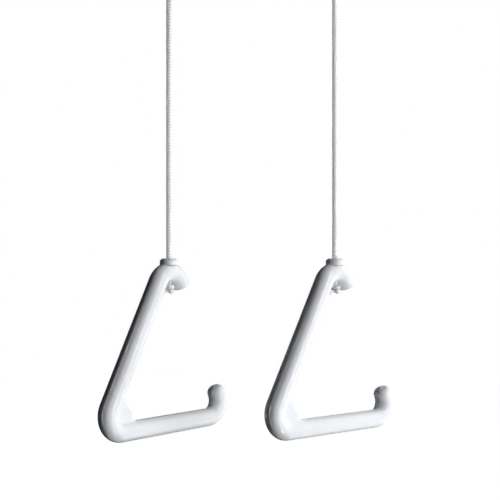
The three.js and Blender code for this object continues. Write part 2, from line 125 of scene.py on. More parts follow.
class PulleyHandle(bpy.types.PropertyGroup):
    """The bent bar of a handle, with its corner rib and collar."""

    bar: length("Bar Diameter", "Thickness of the grip", 16)
    peak: length("Peak", "Sharp corner of the centreline over the datum", 8)
    height: length("Height", "From that corner down to the grip's centreline", 145.7)
    half_angle: degrees("Half Angle", "Between the rope and each side", 27.4)
    peak_inside: length("Peak Bend", "Inside radius at the peak", 6.2)
    corner_inside: length("Corner Bend", "Inside radius at the closed corner", 6.6)
    toe_inside: length("Toe Bend", "Inside radius at the open end of the grip", 5.6)
    hook: length("Hook", "Straight stub past the bend at the peak", 5.6)
    toe: length("Toe", "Straight stub past the bend of the grip", 7.8)
    hook_rounding: length("Hook Rounding", "Of the edge of the hook's end", 2.5)
    toe_rounding: length("Toe Rounding", "Of the edge of the toe's end", 6)
    lean: degrees("Lean", "The triangle is set over by this angle", 1.6)
    rib_reach: length("Rib Reach", "Of the corner rib along each inside", 24)
    rib: length("Rib Thickness", "Of the corner rib at its edge", 6)
    left_turn: degrees("Left Turn", "How the left handle hangs turned about its rope", 51.3)
    right_turn: degrees("Right Turn", "How the right handle hangs turned about its rope", 40.7)
    collar: length("Collar Diameter", "Of the ring that guides the rope", 15.6)
    collar_top: length("Collar Top", "Height over the datum", 3)
    collar_height: length("Collar Height", "Of the ring", 5.9)
    tint: colour("Colour", "Of the moulded plastic", (0.82, 0.845, 0.875))


class PulleyHead(bpy.types.PropertyGroup):
    """The sheaves, their axles, the cheeks and the bracket over the door."""

    pitch: length("Pitch Radius", "Of the rope's centreline round a sheave", 20)
    drop: length("Head Drop", "Of the sheaves' centres below the door's top", 38)
    door_middle: length("Rope Plane", "From the ropes to the middle of the door", 37.9)
    door_gap: length("Door Gap", "Width between the front pads and the rear pad", 42)
    rim: length("Rim Height", "Of a sheave's rim over the pitch circle", 3.5)
    width: length("Sheave Width", "Along the axle", 12)
    groove: length("Groove Width", "At the rim", 8.4)
    axle: length("Axle Diameter", "Of the bolts' shanks", 6)
    rivet: length("Rivet Diameter", "Of the rivets' shanks", 4)
    steel: length("Bracket Steel", "Thickness of the bracket", 3)
    cheek: length("Cheek Steel", "Thickness of the front cheek", 2.5)
    margin: length("Cheek Margin", "Of the cheeks round the rims", 2.5)
    strap: length("Strap Width", "Of the bracket over the door", 90)
    lip: length("Lip Length", "Of the bracket behind the door", 42)
    coat: colour("Powder Coat", "Of the bracket and the cheek", (0.79, 0.8, 0.81))
    nylon: colour("Nylon", "Of the sheaves and thrust washers", (0.46, 0.48, 0.5))
    zinc: colour("Plating", "Of the bolts, nuts, rivets and sleeves", (0.58, 0.59, 0.6))
    bronze: colour("Bronze", "Of the bushes", (0.5, 0.31, 0.1))
    rubber: colour("Rubber", "Of the door pads", (0.035, 0.037, 0.039))


class PulleyStage(bpy.types.PropertyGroup):
    """The camera, the floor and the soft lights."""

    distance: length("Camera Distance", "From the plane that the ropes hang in", 765)
    height: length("Camera Height", "Over the handles' datum", 10.2)
    side: length("Camera Side", "From the middle of the object", -1.65)
    lens: FloatProperty(name="Lens", description="Focal length in millimetres", default=64.8)
    floor: length("Floor", "Level of the floor under the door's top", -1500)
    light: FloatProperty(name="Light", description="Strength of the soft lights", default=1.0)
    sheen: FloatProperty(name="Reflections", description="Strength of what shines", default=1.0)
    ambient: FloatProperty(name="Ambient", description="Light from all round", default=0.008)


def settings():
    """The values of the rope, handle, head and stage settings, with lengths in millimetres."""
    found = []
    for group, kind in GROUPS.items():
        held = getattr(bpy.context.scene, group)
        values = {name: getattr(held, name) for name in kind.__annotations__}
        for name in values:
            if held.bl_rna.properties[name].unit == "LENGTH":
                values[name] /= MM
        found.append(SimpleNamespace(**values))
    return found


# ---- Surfaces ----------------------------------------------------------------------------------


def unit(vectors):
    """Vectors divided by their lengths."""
    vectors = np.asarray(vectors, float)
    return vectors / np.linalg.norm(vectors, axis=-1, keepdims=True)


def volume_of(points, faces):
    """Signed volume: the sum over fan triangles of the triple product of their corners, by 6."""
    total = 0.0
    for group in faces:
        a = points[group[:, 0]]
        for k in range(1, group.shape[1] - 1):
            b, c = points[group[:, k]], points[group[:, k + 1]]
            total += np.einsum("ij,ij->", a, np.cross(b, c)) / 6
    return total


def make_piece(name, points, faces, material, sharp=30.0, attributes=()):
    """A mesh object from points in millimetres and arrays of faces, one array for each number of
    corners. Faces are turned outwards if the signed volume comes out negative."""
    points = np.asarray(points, float)
    faces = [np.asarray(group, np.int64) for group in faces if len(group)]
    if volume_of(points, faces) < 0:
        faces = [group[:, ::-1] for group in faces]
    sizes = np.concatenate([np.full(len(group), group.shape[1]) for group in faces])
    corners = np.concatenate([group.ravel() for group in faces])
    mesh = bpy.data.meshes.new(name)
    mesh.vertices.add(len(points))
    mesh.vertices.foreach_set("co", (points * MM).astype(np.float32).ravel())
    mesh.loops.add(len(corners))
    mesh.loops.foreach_set("vertex_index", corners.astype(np.int32))
    mesh.polygons.add(len(sizes))
    starts = np.concatenate([[0], np.cumsum(sizes)[:-1]])
    mesh.polygons.foreach_set("loop_start", starts.astype(np.int32))
    mesh.update(calc_edges=True)
    mesh.validate()
    for label, values in attributes:
        layer = mesh.attributes.new(label, "FLOAT", "POINT")
        layer.data.foreach_set("value", np.asarray(values, np.float32))
    piece = bpy.data.objects.new(name, mesh)
    bpy.context.scene.collection.objects.link(piece)
    if material is not None:
        mesh.materials.append(material)
    smooth(mesh, sharp)
    return piece


def smooth(mesh, sharp):
    """Smooth shading, with the edges over the given angle kept sharp."""
    mesh.shade_smooth()
    mesh.set_sharp_from_angle(angle=math.radians(sharp))


def settle(piece, node):
    """Gives a piece the body of the CAD node that it replaces, and hides that node."""
    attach(piece, frame["nodes"][node]["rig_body"])
    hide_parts(node)


def grid_faces(rows, columns):
    """Quads between the neighbours of a grid that closes on itself across its columns."""
    row, column = np.meshgrid(np.arange(rows - 1), np.arange(columns), indexing="ij")
    a = row * columns + column
    b = row * columns + (column + 1) % columns
    return np.stack([a, b, b + columns, a + columns], -1).reshape(-1, 4)


def fan(pole, first, columns, flip):
    """Triangles from a pole to the ring of points that starts at the given index."""
    j = np.arange(columns)
    ring = [first + j, first + (j + 1) % columns]
    ring = ring[::-1] if flip else ring
    return np.stack([np.full(columns, pole), *ring], -1)


def closed(points, rows, columns, poles):
    """Points and faces of a grid of rings that is closed by a pole at each end."""
    total = rows * columns
    ends = [fan(total, 0, columns, True), fan(total + 1, total - columns, columns, False)]
    points = np.concatenate([points.reshape(-1, 3), poles])
    return points, [grid_faces(rows, columns), np.concatenate(ends)]


def turned(profile, segments=64):
    """Points and faces of a profile of (radius, height) turned about Z: each profile point goes
    round a circle of its radius. A profile that starts and ends on the axis gets a pole at each
    end, and any other closes on itself."""
    profile = np.asarray(profile, float)
    capped = profile[0, 0] == 0
    rings = profile[1:-1] if capped else profile
    angle = np.arange(segments) * 2 * np.pi / segments
    x = rings[:, :1] * np.cos(angle)
    y = rings[:, :1] * np.sin(angle)
    z = np.repeat(rings[:, 1:], segments, 1)
    points = np.stack([x, y, z], -1).reshape(-1, 3)
    count = len(rings)
    if capped:
        poles = [[0, 0, profile[0, 1]], [0, 0, profile[-1, 1]]]
        return closed(points, count, segments, poles)
    j = np.arange(segments)
    k = (j + 1) % segments
    last = (count - 1) * segments
    closing = np.stack([last + j, last + k, k, j], -1)
    return points, [np.concatenate([grid_faces(count, segments), closing])]


def eased(profile, radius, steps=3):
    """A profile whose corners are rounded. Each corner is replaced by an arc that touches both
    sides at radius / tan(half the corner's angle), shortened where a side is too short."""
    profile = np.asarray(profile, float)
    out = []
    count = len(profile)
    for i, corner in enumerate(profile):
        back, ahead = profile[i - 1] - corner, profile[(i + 1) % count] - corner
        shortest = min(np.linalg.norm(back), np.linalg.norm(ahead))
        back, ahead = unit(back), unit(ahead)
        half = np.arccos(np.clip(back @ ahead, -1, 1)) / 2
        if half > 1.5 or corner[0] == 0:
            out.append(corner[None])
            continue
        reach = min(radius / np.tan(half), 0.45 * shortest)
        turn = np.pi - 2 * half
        arm = reach * np.tan(half)
        centre = corner + unit(back + ahead) * arm / np.sin(half)
        start, end = (corner + back * reach - centre), (corner + ahead * reach - centre)
        t = np.linspace(0, 1, steps + 1)[:, None]
        arc = (np.sin((1 - t) * turn) * start + np.sin(t * turn) * end) / np.sin(turn)
        out.append(centre + arc)
    return np.concatenate(out)


def placed(points, turn=0.0, at=(0, 0, 0), along="Z"):
    """Points turned about Z, or laid so that their Z runs along Y, and moved into place."""
    points = np.asarray(points, float)
    if along == "Y":
        points = points[:, [0, 2, 1]] * [1, 1, -1]
    c, s = math.cos(turn), math.sin(turn)
    spin = np.array([[c, -s, 0], [s, c, 0], [0, 0, 1]])
    return points @ spin.T + np.asarray(at, float)


def rod(radius, low, high, segments):
    """A rod along Z."""
    return turned([[0, low], [radius, low], [radius, high], [0, high]], segments)


def move(piece, at, turn=0.0):
    """Turns a piece's mesh about Z, then moves it."""
    points = np.zeros(len(piece.data.vertices) * 3, np.float32)
    piece.data.vertices.foreach_get("co", points)
    points = placed(points.reshape(-1, 3), turn, np.asarray(at) * MM)
    piece.data.vertices.foreach_set("co", points.astype(np.float32).ravel())
    piece.data.update()


def remove(piece):
    """Removes a piece and its mesh."""
    mesh = piece.data
    bpy.data.objects.remove(piece)
    bpy.data.meshes.remove(mesh)


def carved(name, points, faces, steps, material, sharp=30.0):
    """A piece joined with or cut by other closed surfaces, each given as (operation, points,
    faces), and the result kept as its mesh."""
    piece = make_piece(name, points, faces, material, sharp)
    tools = []
    for operation, tool_points, tool_faces in steps:
        tool = make_piece(name + "_tool", tool_points, tool_faces, None)
        modifier = piece.modifiers.new("cut", "BOOLEAN")
        modifier.operation, modifier.solver, modifier.object = operation, "EXACT", tool
        tools.append(tool)
    bpy.context.view_layer.update()
    graph = bpy.context.evaluated_depsgraph_get()
    result = bpy.data.meshes.new_from_object(piece.evaluated_get(graph))
    piece.modifiers.clear()
    old = piece.data
    piece.data = result
    result.name = name
    bpy.data.meshes.remove(old)
    for tool in tools:
        remove(tool)
    smooth(result, sharp)
    return piece


# ---- Materials ---------------------------------------------------------------------------------


class Finish:
    """A Principled material under construction, with its node tree at hand."""

    def __init__(self, name, **values):
        self.material = bpy.data.materials.new(name)
        self.material.use_nodes = True
        self.tree = self.material.node_tree
        self.shader = self.tree.nodes["Principled BSDF"]
        for key, value in values.items():
            self.shader.inputs[key.replace("_", " ")].default_value = value

    def node(self, kind, **values):
        """A new node with its properties and input values set."""
        node = self.tree.nodes.new(kind)
        for key, value in values.items():
            if hasattr(node, key):
                setattr(node, key, value)
            else:
                node.inputs[key.replace("_", " ")].default_value = value
        return node

    def link(self, source, target):
        """A link between two sockets."""
        self.tree.links.new(source, target)

    def noise(self, scale, detail=3.0, stretch=(1, 1, 1)):
        """Noise over Object coordinates, in cells per metre."""
        place = self.node("ShaderNodeTexCoord")
        mapping = self.node("ShaderNodeMapping", Scale=stretch)
        noise = self.node("ShaderNodeTexNoise", Scale=scale, Detail=detail)
        self.link(place.outputs["Object"], mapping.inputs["Vector"])
        self.link(mapping.outputs["Vector"], noise.inputs["Vector"])
        return noise.outputs["Fac"]

    def attribute(self, name):
        """A float attribute of the mesh."""
        return self.node("ShaderNodeAttribute", attribute_name=name).outputs["Fac"]

    def ramp(self, source, low, high, start=0.0, end=1.0):
        """A value mapped from start..end to low..high."""
        node = self.node("ShaderNodeMapRange")
        values = zip(("From Min", "From Max", "To Min", "To Max"), (start, end, low, high))
        for key, value in values:
            node.inputs[key].default_value = value
        self.link(source, node.inputs["Value"])
        return node.outputs["Result"]

    def mix(self, source, first, second):
        """A mix of two colours."""
        node = self.node("ShaderNodeMix", data_type="RGBA")
        self.link(source, node.inputs["Factor"])
        node.inputs[6].default_value = (*first, 1)
        node.inputs[7].default_value = (*second, 1)
        return node.outputs[2]

    def bump(self, height, distance, strength=1.0, under=None):
        """A bump of the given height in metres, over another bump if there is one."""
        node = self.node("ShaderNodeBump", Strength=strength, Distance=distance)
        self.link(height, node.inputs["Height"])
        if under is not None:
            self.link(under, node.inputs["Normal"])
        return node.outputs["Normal"]

    def feed(self, socket, source):
        """A link into one of the shader's own sockets."""
        self.link(source, self.shader.inputs[socket])

    def mottle(self, noise, tint, share, span=(0.3, 0.7)):
        """A base colour that wanders between a tint and its shade over the span of a noise."""
        self.feed("Base Color", self.mix(self.ramp(noise, 0, 1, *span), tint, shade(tint, share)))

    def wear(self, noise, low, high):
        """A roughness that wanders between two values over the middle of a noise."""
        self.feed("Roughness", self.ramp(noise, low, high, 0.3, 0.7))


def shade(tint, share):
    """A tint made darker or lighter."""
    return tuple(min(1.0, share * value) for value in tint)


def shared(maker, tint):
    """The material that a maker makes, made once."""
    return bpy.data.materials.get(maker.__name__) or maker(tuple(tint))


def gloss_plastic(tint):
    """Injection-moulded gloss plastic: faint flow marks in the colour, slow waves in the skin and
    a roughness that changes where hands have rubbed it."""
    finish = Finish("gloss_plastic", Roughness=0.06, IOR=1.47)
    finish.mottle(finish.noise(55, 4, (1, 1, 0.35)), tint, 0.965)
    finish.wear(finish.noise(140, 5), 0.04, 0.1)
    waves = finish.bump(finish.noise(70, 1.5), 0.00005, 0.5)
    finish.feed("Normal", finish.bump(finish.noise(2600, 2), 0.000004, 0.5, waves))
    return finish.material


def knot_yarn_painted_lighter(tint):
    """The same yarn, fluffed up, and painted lighter: a lit copy that stands in for the light on
    the knot.
    """
    # Painted light: the knot's tint is the rope's, made 3% lighter.
    return braid_yarn(shade(tint, 1.03), "knot_yarn_painted_lighter", 0.004)


def braid_yarn(tint, name="braid_yarn", scatter=0.009):
    """Bleached polyester braid: painted shade darkens the gaps between strands, with filaments
    that run along each strand and loose fibres that break up the sheen."""
    finish = Finish(
        name, Roughness=0.62, Sheen_Weight=0.25, Sheen_Roughness=0.45, IOR=1.5,
        Subsurface_Weight=1.0, Subsurface_Radius=(1.0, 1.0, 1.0), Subsurface_Scale=scatter,
    )
    # Painted shade: the base colour falls to half the tint in the gaps between strands, by the
    # depth label.
    depth = finish.ramp(finish.attribute("depth"), 0, 1, 0.0, 0.75)
    finish.feed("Base Color", finish.mix(depth, shade(tint, 0.5), tint))
    filament = finish.node("ShaderNodeMath", operation="SINE")
    finish.link(finish.ramp(finish.attribute("across"), -15, 15, -0.5, 0.5), filament.inputs[0])
    ridges = finish.bump(filament.outputs[0], 0.00003, 0.6)
    finish.feed("Normal", finish.bump(finish.noise(5200, 4), 0.00005, 0.6, ridges))
    finish.wear(finish.noise(900, 3), 0.52, 0.74)
    return finish.material


# ---- Rope --------------------------------------------------------------------------------------

# A knot's route under the handle's datum: down through the middle, and the tail past its turns.
KNOT_ENTRY = ((0, 0, -15.6), (0, 0, -18), (0, 0, -21), (0.3, -0.4, -23.3), (1.4, -1.6, -24.8))
KNOT_TAIL = ((-2.5, -2.4, -24.4), (-4.1, -3.3, -25.3), (-5.1, -3.8, -26.2))


def braid(angle, along, strands, pick):
    """Height of a two-over, two-under braid over its core, from 0 to 1, the place across the
    strand on top, from -0.5 to 0.5, and the painted shade that darkens the gaps between strands.

    Two families of strands run round the rope in opposite senses: strand numbers a and b grow
    with along / pick plus and minus angle / (2 pi) times the strands. Each strand is a half
    ellipse across its width, lifted by a cosine where it passes over the other family and sunk
    where it passes under, and the surface is the higher of the two."""
    swing = 0.42  # how far a strand is lifted and sunk, in strand thicknesses
    gap_height = -0.1
    round_part = strands * angle / (2 * np.pi)
    a, b = along / pick + round_part, along / pick - round_part
    first, second = np.floor(a), np.floor(b)
    across_a, across_b = a - first - 0.5, b - second - 0.5
    crown_a = np.sqrt(np.clip(1 - (across_a / 0.5) ** 2, 0, 1))
    crown_b = np.sqrt(np.clip(1 - (across_b / 0.5) ** 2, 0, 1))
    height_a = crown_a + swing * np.cos(np.pi / 2 * (b - first - 1))
    height_b = crown_b + swing * np.cos(np.pi / 2 * (a - second + 2))
    across = np.where(height_a > height_b, across_a, across_b)
    height = (np.maximum(height_a, height_b) - gap_height) / (1 + swing - gap_height)
    # The third value is painted shade: 1 on the strands' crowns, falling to 0 in the gaps between
    # them.
    return np.clip(height, 0, 1), across, np.clip(height * 1.1 - 0.25, 0, 1)


def braided(path, guide, radius, rope, around=56, step=0.34):
    """A closed braided tube along a path, its labels and its middle line.

    A point is the path's point plus, along the guide direction turned by the angle round the
    path, the core's radius and the braid's height. Each end closes in two shrinking rings that
    bulge outwards, and a pole."""
    core, skin = 0.82, 0.22  # shares of the radius
    spans = np.linalg.norm(np.diff(path, axis=0), axis=1)
    reached = np.concatenate([[0], np.cumsum(spans)])
    count = max(8, int(round(reached[-1] / step)))
    along = np.linspace(0, reached[-1], count + 1)
    line, guides = (
        np.stack([np.interp(along, reached, rows[:, k]) for k in range(3)], 1)
        for rows in (path, guide)
    )
    tangent = unit(np.gradient(line, along, axis=0))
    normal = unit(guides - np.sum(guides * tangent, 1)[:, None] * tangent)
    side = np.cross(tangent, normal)
    angle = np.arange(around) * 2 * np.pi / around
    cos, sin = np.cos(angle)[:, None], np.sin(angle)[:, None]
    pick = rope.pick * radius / (rope.diameter / 2)
    height, across, depth = braid(angle[None], along[:, None], rope.carriers, pick)
    reach = radius * (core + skin * height)
    body = line[:, None] + reach[..., None] * (cos * normal[:, None] + sin * side[:, None])
    shrink = np.array([0.72, 0.4])[:, None, None]
    bulge = np.array([0.22, 0.34])[:, None, None] * radius
    before = line[0] - bulge * tangent[0] + shrink * (body[0] - line[0])
    after = line[-1] + bulge * tangent[-1] + shrink * (body[-1] - line[-1])
    grid = np.concatenate([before[::-1], body, after])
    tip = 0.38 * radius
    poles = [line[0] - tip * tangent[0], line[-1] + tip * tangent[-1]]
    points, faces = closed(grid, len(grid), around, poles)
    # The depth label carries the painted shade of the gaps between strands, which the yarn reads.
    labels = [
        (name, np.append(np.pad(values, ((2, 2), (0, 0)), mode="edge"), [0, 0]))
        for name, values in (("across", across), ("depth", depth))
    ]
    return points, faces, labels, line


def spline(control, steps):
    """A smooth curve through control rows: on each span, the cubic whose slopes at its ends are
    half the difference between the rows on either side."""
    before, after = 2 * control[0] - control[1], 2 * control[-1] - control[-2]
    padded = np.concatenate([[before], control, [after]])
    slope = (padded[2:] - padded[:-2]) / 2
    t = np.linspace(0, 1, steps, endpoint=False)[None, :, None]
    p0, p1, m0, m1 = control[:-1, None], control[1:, None], slope[:-1, None], slope[1:, None]
    curve = (
        (2 * t**3 - 3 * t**2 + 1) * p0
        + (t**3 - 2 * t**2 + t) * m0
        + (3 * t**2 - 2 * t**3) * p1
        + (t**3 - t**2) * m1
    )
    return np.concatenate([curve.reshape(-1, control.shape[1]), control[-1:]])


def knot_route():
    """Rows of a knot's route, each a place and the guide direction there.

    The rope comes down through the middle, winds up round itself, tucks in under its last turn
    and ends in a short tail. The coil is a helix whose radius shrinks evenly, and whose height
    grows with the share of its turns to the power 0.9."""
    share = np.linspace(0, 1, 15)
    turn = (1.75 + 3.1 * share) * np.pi
    wrap = 2.95 - 0.45 * share
    coil = np.stack([wrap * np.cos(turn), wrap * np.sin(turn), -25 + 4.7 * share**0.9], 1)
    turn = turn[-1] + np.array([0.35, 0.7]) * np.pi
    wrap = np.array([2.5, 2.2])
    tuck = np.stack([wrap * np.cos(turn), wrap * np.sin(turn), [-20.9, -22.5]], 1)
    stretches = (
        (KNOT_ENTRY, (-0.6, 0.8, 0.15)),
        (coil, (0, 0, 1)),
        (tuck, (0.5, -0.3, 0.9)),
        (KNOT_TAIL, (0.2, 0.2, 1)),
    )
    return np.concatenate(
        [np.column_stack([rows, np.tile(guide, (len(rows), 1))]) for rows, guide in stretches]
    )


def places(rope, head):
    """Shared places: the ropes' X and Y, the sheaves' X and Z, the height of the handles' datum
    and the point between the sheaves."""
    return SimpleNamespace(
        rope_x=rope.spacing / 2,
        rope_y=-head.door_middle,
        sheave_x=rope.spacing / 2 - head.pitch,
        sheave_z=-head.drop,
        datum=-head.drop - rope.drop,
        centre=np.array([0, -head.door_middle, -head.drop]),
    )


def grip_place(at, sign):
    """Where a handle's datum lies, on the middle of its rope."""
    return sign * at.rope_x, at.rope_y, at.datum


def sheave_place(at, sign):
    """The middle of a sheave."""
    return at.centre + [sign * at.sheave_x, 0, 0]


class PULLEY_OT_rope(bpy.types.Operator):
    """Makes the rope: both hanging runs and the stretch over the sheaves"""

    bl_idname = "pulley.rope"
    bl_label = "Rope"

    def execute(self, context):
        rope, _, head, _ = settings()
        at = places(rope, head)
        for name, sign in SIDES:
            self.hanging(name, sign, rope, at)
        self.over(rope, head, at)
        return {"FINISHED"}

    def hanging(self, name, sign, rope, at):
        """A straight run from a sheave down to its knot."""
        top = np.array([sign * at.rope_x, at.rope_y, at.sheave_z])
        low = np.array([*top[:2], at.datum - rope.knot_top])
        guide = np.tile([1.0, 0, 0], (2, 1))
        piece, line = self.stretch("rope_run_" + name, np.array([top, low]), guide, rope)
        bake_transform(piece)
        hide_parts("rope_drop_" + name)

    def over(self, rope, head, at):
        """The stretch from one hanging run up over both sheaves to the other: two quarter
        circles and the straight between them."""
        turn = np.linspace(0, np.pi / 2, 24)
        x, z = -at.sheave_x - head.pitch * np.cos(turn), head.pitch * np.sin(turn)
        left = np.stack([x, np.full(len(turn), at.rope_y), at.sheave_z + z], 1)
        path = np.concatenate([left, left[::-1] * [-1, 1, 1]])
        guide = np.tile([0, 1.0, 0], (len(path), 1))
        piece, line = self.stretch("rope_over", path, guide, rope)
        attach(piece, "head")
        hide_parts("rope_over_sheaves")

    def stretch(self, name, path, guide, rope):
        """A piece of rope along a path, and its middle line."""
        points, faces, labels, line = braided(path, guide, rope.diameter / 2, rope)
        yarn = shared(braid_yarn, rope.tint)
        piece = make_piece(name, points, faces, yarn, 180, labels)
        return piece, line


class PULLEY_OT_knots(bpy.types.Operator):
    """Makes the stopper knots, each two turns of the rope round itself with a short tail"""

    bl_idname = "pulley.knots"
    bl_label = "Stopper Knots"

    def execute(self, context):
        rope, _, head, _ = settings()
        at = places(rope, head)
        # Painted light: the knots get a lighter copy of the rope's yarn.
        yarn = shared(knot_yarn_painted_lighter, rope.tint)
        path, guide = np.hsplit(spline(knot_route(), 14), 2)
        points, faces, labels, _ = braided(path, guide, rope.knot_strand / 2, rope, 36, 0.3)
        for name, sign in SIDES:
            tied = placed(points, at=grip_place(at, sign))
            piece = make_piece("knot_" + name, tied, faces, yarn, 180, labels)
            settle(piece, "stopper_knot_" + name)
        return {"FINISHED"}


# ---- Handle ------------------------------------------------------------------------------------

RIB_EDGE = 1.3  # radius of the round along the rib's edge
RIB_ROOT = 2.0  # radius of the hollow where it meets the bar
RIB_DRAFT = 0.35  # how much thicker it is at its foot, on each side
RIB_FADE = 3.0  # length over which it runs out
END_CROWN = 0.5  # how far the bar's ends are domed
BOSS_DEPTH = 9  # of the boss under the collar, below the datum


def rounded_line(points, radii, straight, bend):
    """A polyline in a plane with its inner corners rounded to the given radii, as places and
    directions, with the given steps on the straights and in the bends. An arc's place is its
    centre plus the two end arms mixed by the sines of their shares of the turn, over the sine
    of the whole turn."""
    points = [np.asarray(point, float) for point in points]
    steps, ways = [], []
    start = points[0]
    for i, radius in enumerate(radii, 1):
        back, ahead = unit(points[i - 1] - points[i]), unit(points[i + 1] - points[i])
        half = np.arccos(back @ ahead) / 2
        centre = points[i] + unit(back + ahead) * radius / np.sin(half)
        first, last = (points[i] + way * radius / np.tan(half) for way in (back, ahead))
        count = max(2, int(np.linalg.norm(first - start) / straight) + 1)
        steps.append(np.linspace(start, first, count, endpoint=False))
        ways.append(np.tile(-back, (count, 1)))
        turn = np.pi - 2 * half
        t = np.linspace(0, 1, int(turn * radius / bend) + 2)[:, None]
        arm_a, arm_b = first - centre, last - centre
        arc = (np.sin((1 - t) * turn) * arm_a + np.sin(t * turn) * arm_b) / np.sin(turn)
        steps.append(centre + arc)
        ways.append(unit(np.cos(t * turn) * arm_b - np.cos((1 - t) * turn) * arm_a))
        start = last
    count = max(2, int(np.linalg.norm(points[-1] - start) / straight) + 1)
    steps.append(np.linspace(start, points[-1], count + 1)[1:])
    ways.append(np.tile(unit(points[-1] - start), (count, 1)))
    return np.concatenate(steps), np.concatenate(ways)


def rib_height(out, reach, half):
    """How far the rib stands over the bar at a place out of its middle plane. The crest is flat
    with a quarter-round edge, the flank is straight and drafted, and a quarter-round hollow
    meets the bar. Both rounds shrink where the rib runs out."""
    share = np.clip(reach / (RIB_EDGE + RIB_ROOT), 0, 1)
    edge, root = RIB_EDGE * share + 1e-9, RIB_ROOT * share + 1e-9
    out, foot = np.abs(out), half + RIB_DRAFT
    crest = reach - edge * (1 - np.sqrt(1 - np.clip((out - half + edge) / edge, 0, 1) ** 2))
    flank = reach - edge - (reach - edge - root) * np.clip((out - half) / RIB_DRAFT, 0, 1)
    hollow = np.clip((foot + root - out) / root, 0, 1)
    hollow = root * (1 - np.sqrt(1 - hollow**2))
    return np.where(out <= half, crest, np.where(out <= foot, flank, hollow))


def bar_end(radius, rounding):
    """Radii and distances of the rings that close an end: a quarter circle that rounds the edge,
    then two rings of a face that is domed as a parabola."""
    turn = np.linspace(0, np.pi / 2, 10)[1:]
    edge = radius - rounding * (1 - np.cos(turn))
    face = edge[-1] * np.array([0.62, 0.3])
    rise = rounding + END_CROWN * (1 - (face / edge[-1]) ** 2)
    out = np.concatenate([rounding * np.sin(turn), rise])
    return np.concatenate([edge, face]), out[:, None]


def handle_corners(handle):
    """The centreline's sharp corners in the handle's plane: the peak, the closed corner and the
    toe, all on a triangle with two equal sides."""
    grip_z = handle.peak - handle.height
    corner_x = handle.height * math.tan(handle.half_angle)
    return np.array([[0, handle.peak], [-corner_x, grip_z], [corner_x, grip_z]])


def handle_line(handle, radius):
    """Places, directions and radii of the rings along the bar, from the hook's end to the
    toe's. Both stubs lie along the triangle's open side."""
    peak, corner, toe = handle_corners(handle)
    down = unit(toe - peak)
    peak_bend = handle.peak_inside + radius
    toe_bend = handle.toe_inside + radius
    toe_half = (math.pi / 2 - handle.half_angle) / 2
    hook_end = peak + down * (peak_bend / math.tan(handle.half_angle) + handle.hook)
    toe_end = toe - down * (toe_bend / math.tan(toe_half) + handle.toe)
    first = hook_end + unit(peak - hook_end) * handle.hook_rounding
    last = toe_end + unit(toe - toe_end) * handle.toe_rounding
    bends = [peak_bend, handle.corner_inside + radius, toe_bend]
    centre, way = rounded_line([first, peak, corner, toe, last], bends, 1.6, 0.8)
    hook_radii, hook_out = bar_end(radius, handle.hook_rounding)
    toe_radii, toe_out = bar_end(radius, handle.toe_rounding)
    radii = np.concatenate([hook_radii[::-1], np.full(len(centre), radius), toe_radii])
    centre = np.concatenate(
        [first - way[0] * hook_out[::-1], centre, last + way[-1] * toe_out]
    )
    way = np.pad(way, ((len(hook_out), len(toe_out)), (0, 0)), mode="edge")
    return centre, way, radii


def ring_angles(radius, half):
    """Angles of the points round the bar, from its inside. Over the rib they stand at chosen
    distances from the middle plane: few on the crest, and close together round its edge, down
    its flank and in the hollow. The angle is the arc sine of the distance over the radius."""
    quarter = np.linspace(0, np.pi / 2, 8)
    foot = half + RIB_DRAFT
    near = np.concatenate([
        [0, 0.7, 1.2, 1.6],
        half - RIB_EDGE * np.cos(quarter[:-1]),
        half + RIB_DRAFT * np.linspace(0, 1, 9),
        foot + RIB_ROOT * (1 - np.cos(quarter[1:])),
        [5.9, 6.5, 7.1, 7.6, 7.9],
    ])
    near = np.unique(np.round(near[near < radius * 0.995], 4))
    inner = np.arcsin(near / radius)
    outer = np.linspace(np.pi / 2, 1.5 * np.pi, 27)
    return np.concatenate([inner, outer, 2 * np.pi - inner[:0:-1]])


def handle_surface(handle):
    """Points and faces of a handle in its own frame, before the collar's seat is cut.

    A circle of the bar's radius is carried along the rounded centreline. Near both ends its
    radius falls along a quarter circle, which rounds the end's edge. In the closed corner the
    points on the inside are drawn out along the corner's bisector, as far as the rib's edge
    line, by the rib's height at their distance from the middle plane."""
    radius = handle.bar / 2
    centre, way, radii = handle_line(handle, radius)
    angle = ring_angles(radius, handle.rib / 2)
    inward = np.stack([-way[:, 1], way[:, 0]], 1)
    across = radii[:, None] * np.cos(angle)
    out = radii[:, None] * np.sin(angle)
    flat = centre[:, None] + inward[:, None] * across[..., None]
    peak, corner, toe = handle_corners(handle)
    up, along = unit(peak - corner), unit(toe - corner)
    bisector = unit(up + along)
    half = np.arccos(up @ along) / 2
    inside = corner + bisector * radius / np.sin(half)
    left = handle.rib_reach * np.cos(half) - (flat - inside) @ bisector
    fade = np.clip(RIB_FADE - np.abs(left), 0, None) ** 2 / (4 * RIB_FADE)
    left = np.where(np.cos(angle)[None] > 0, np.maximum(left, 0) + fade, 0)
    flat = flat + bisector * rib_height(out, left, handle.rib / 2)[..., None]
    grid = np.stack([flat[..., 0], out, flat[..., 1]], -1)
    rise = END_CROWN * 0.1
    tips = np.array([centre[0] - way[0] * rise, centre[-1] + way[-1] * rise])
    points, faces = closed(grid, len(grid), len(angle), np.insert(tips, 1, 0, axis=1))
    c, s = math.cos(handle.lean), math.sin(handle.lean)
    return points @ np.array([[c, 0, -s], [0, 1, 0], [s, 0, c]]), faces


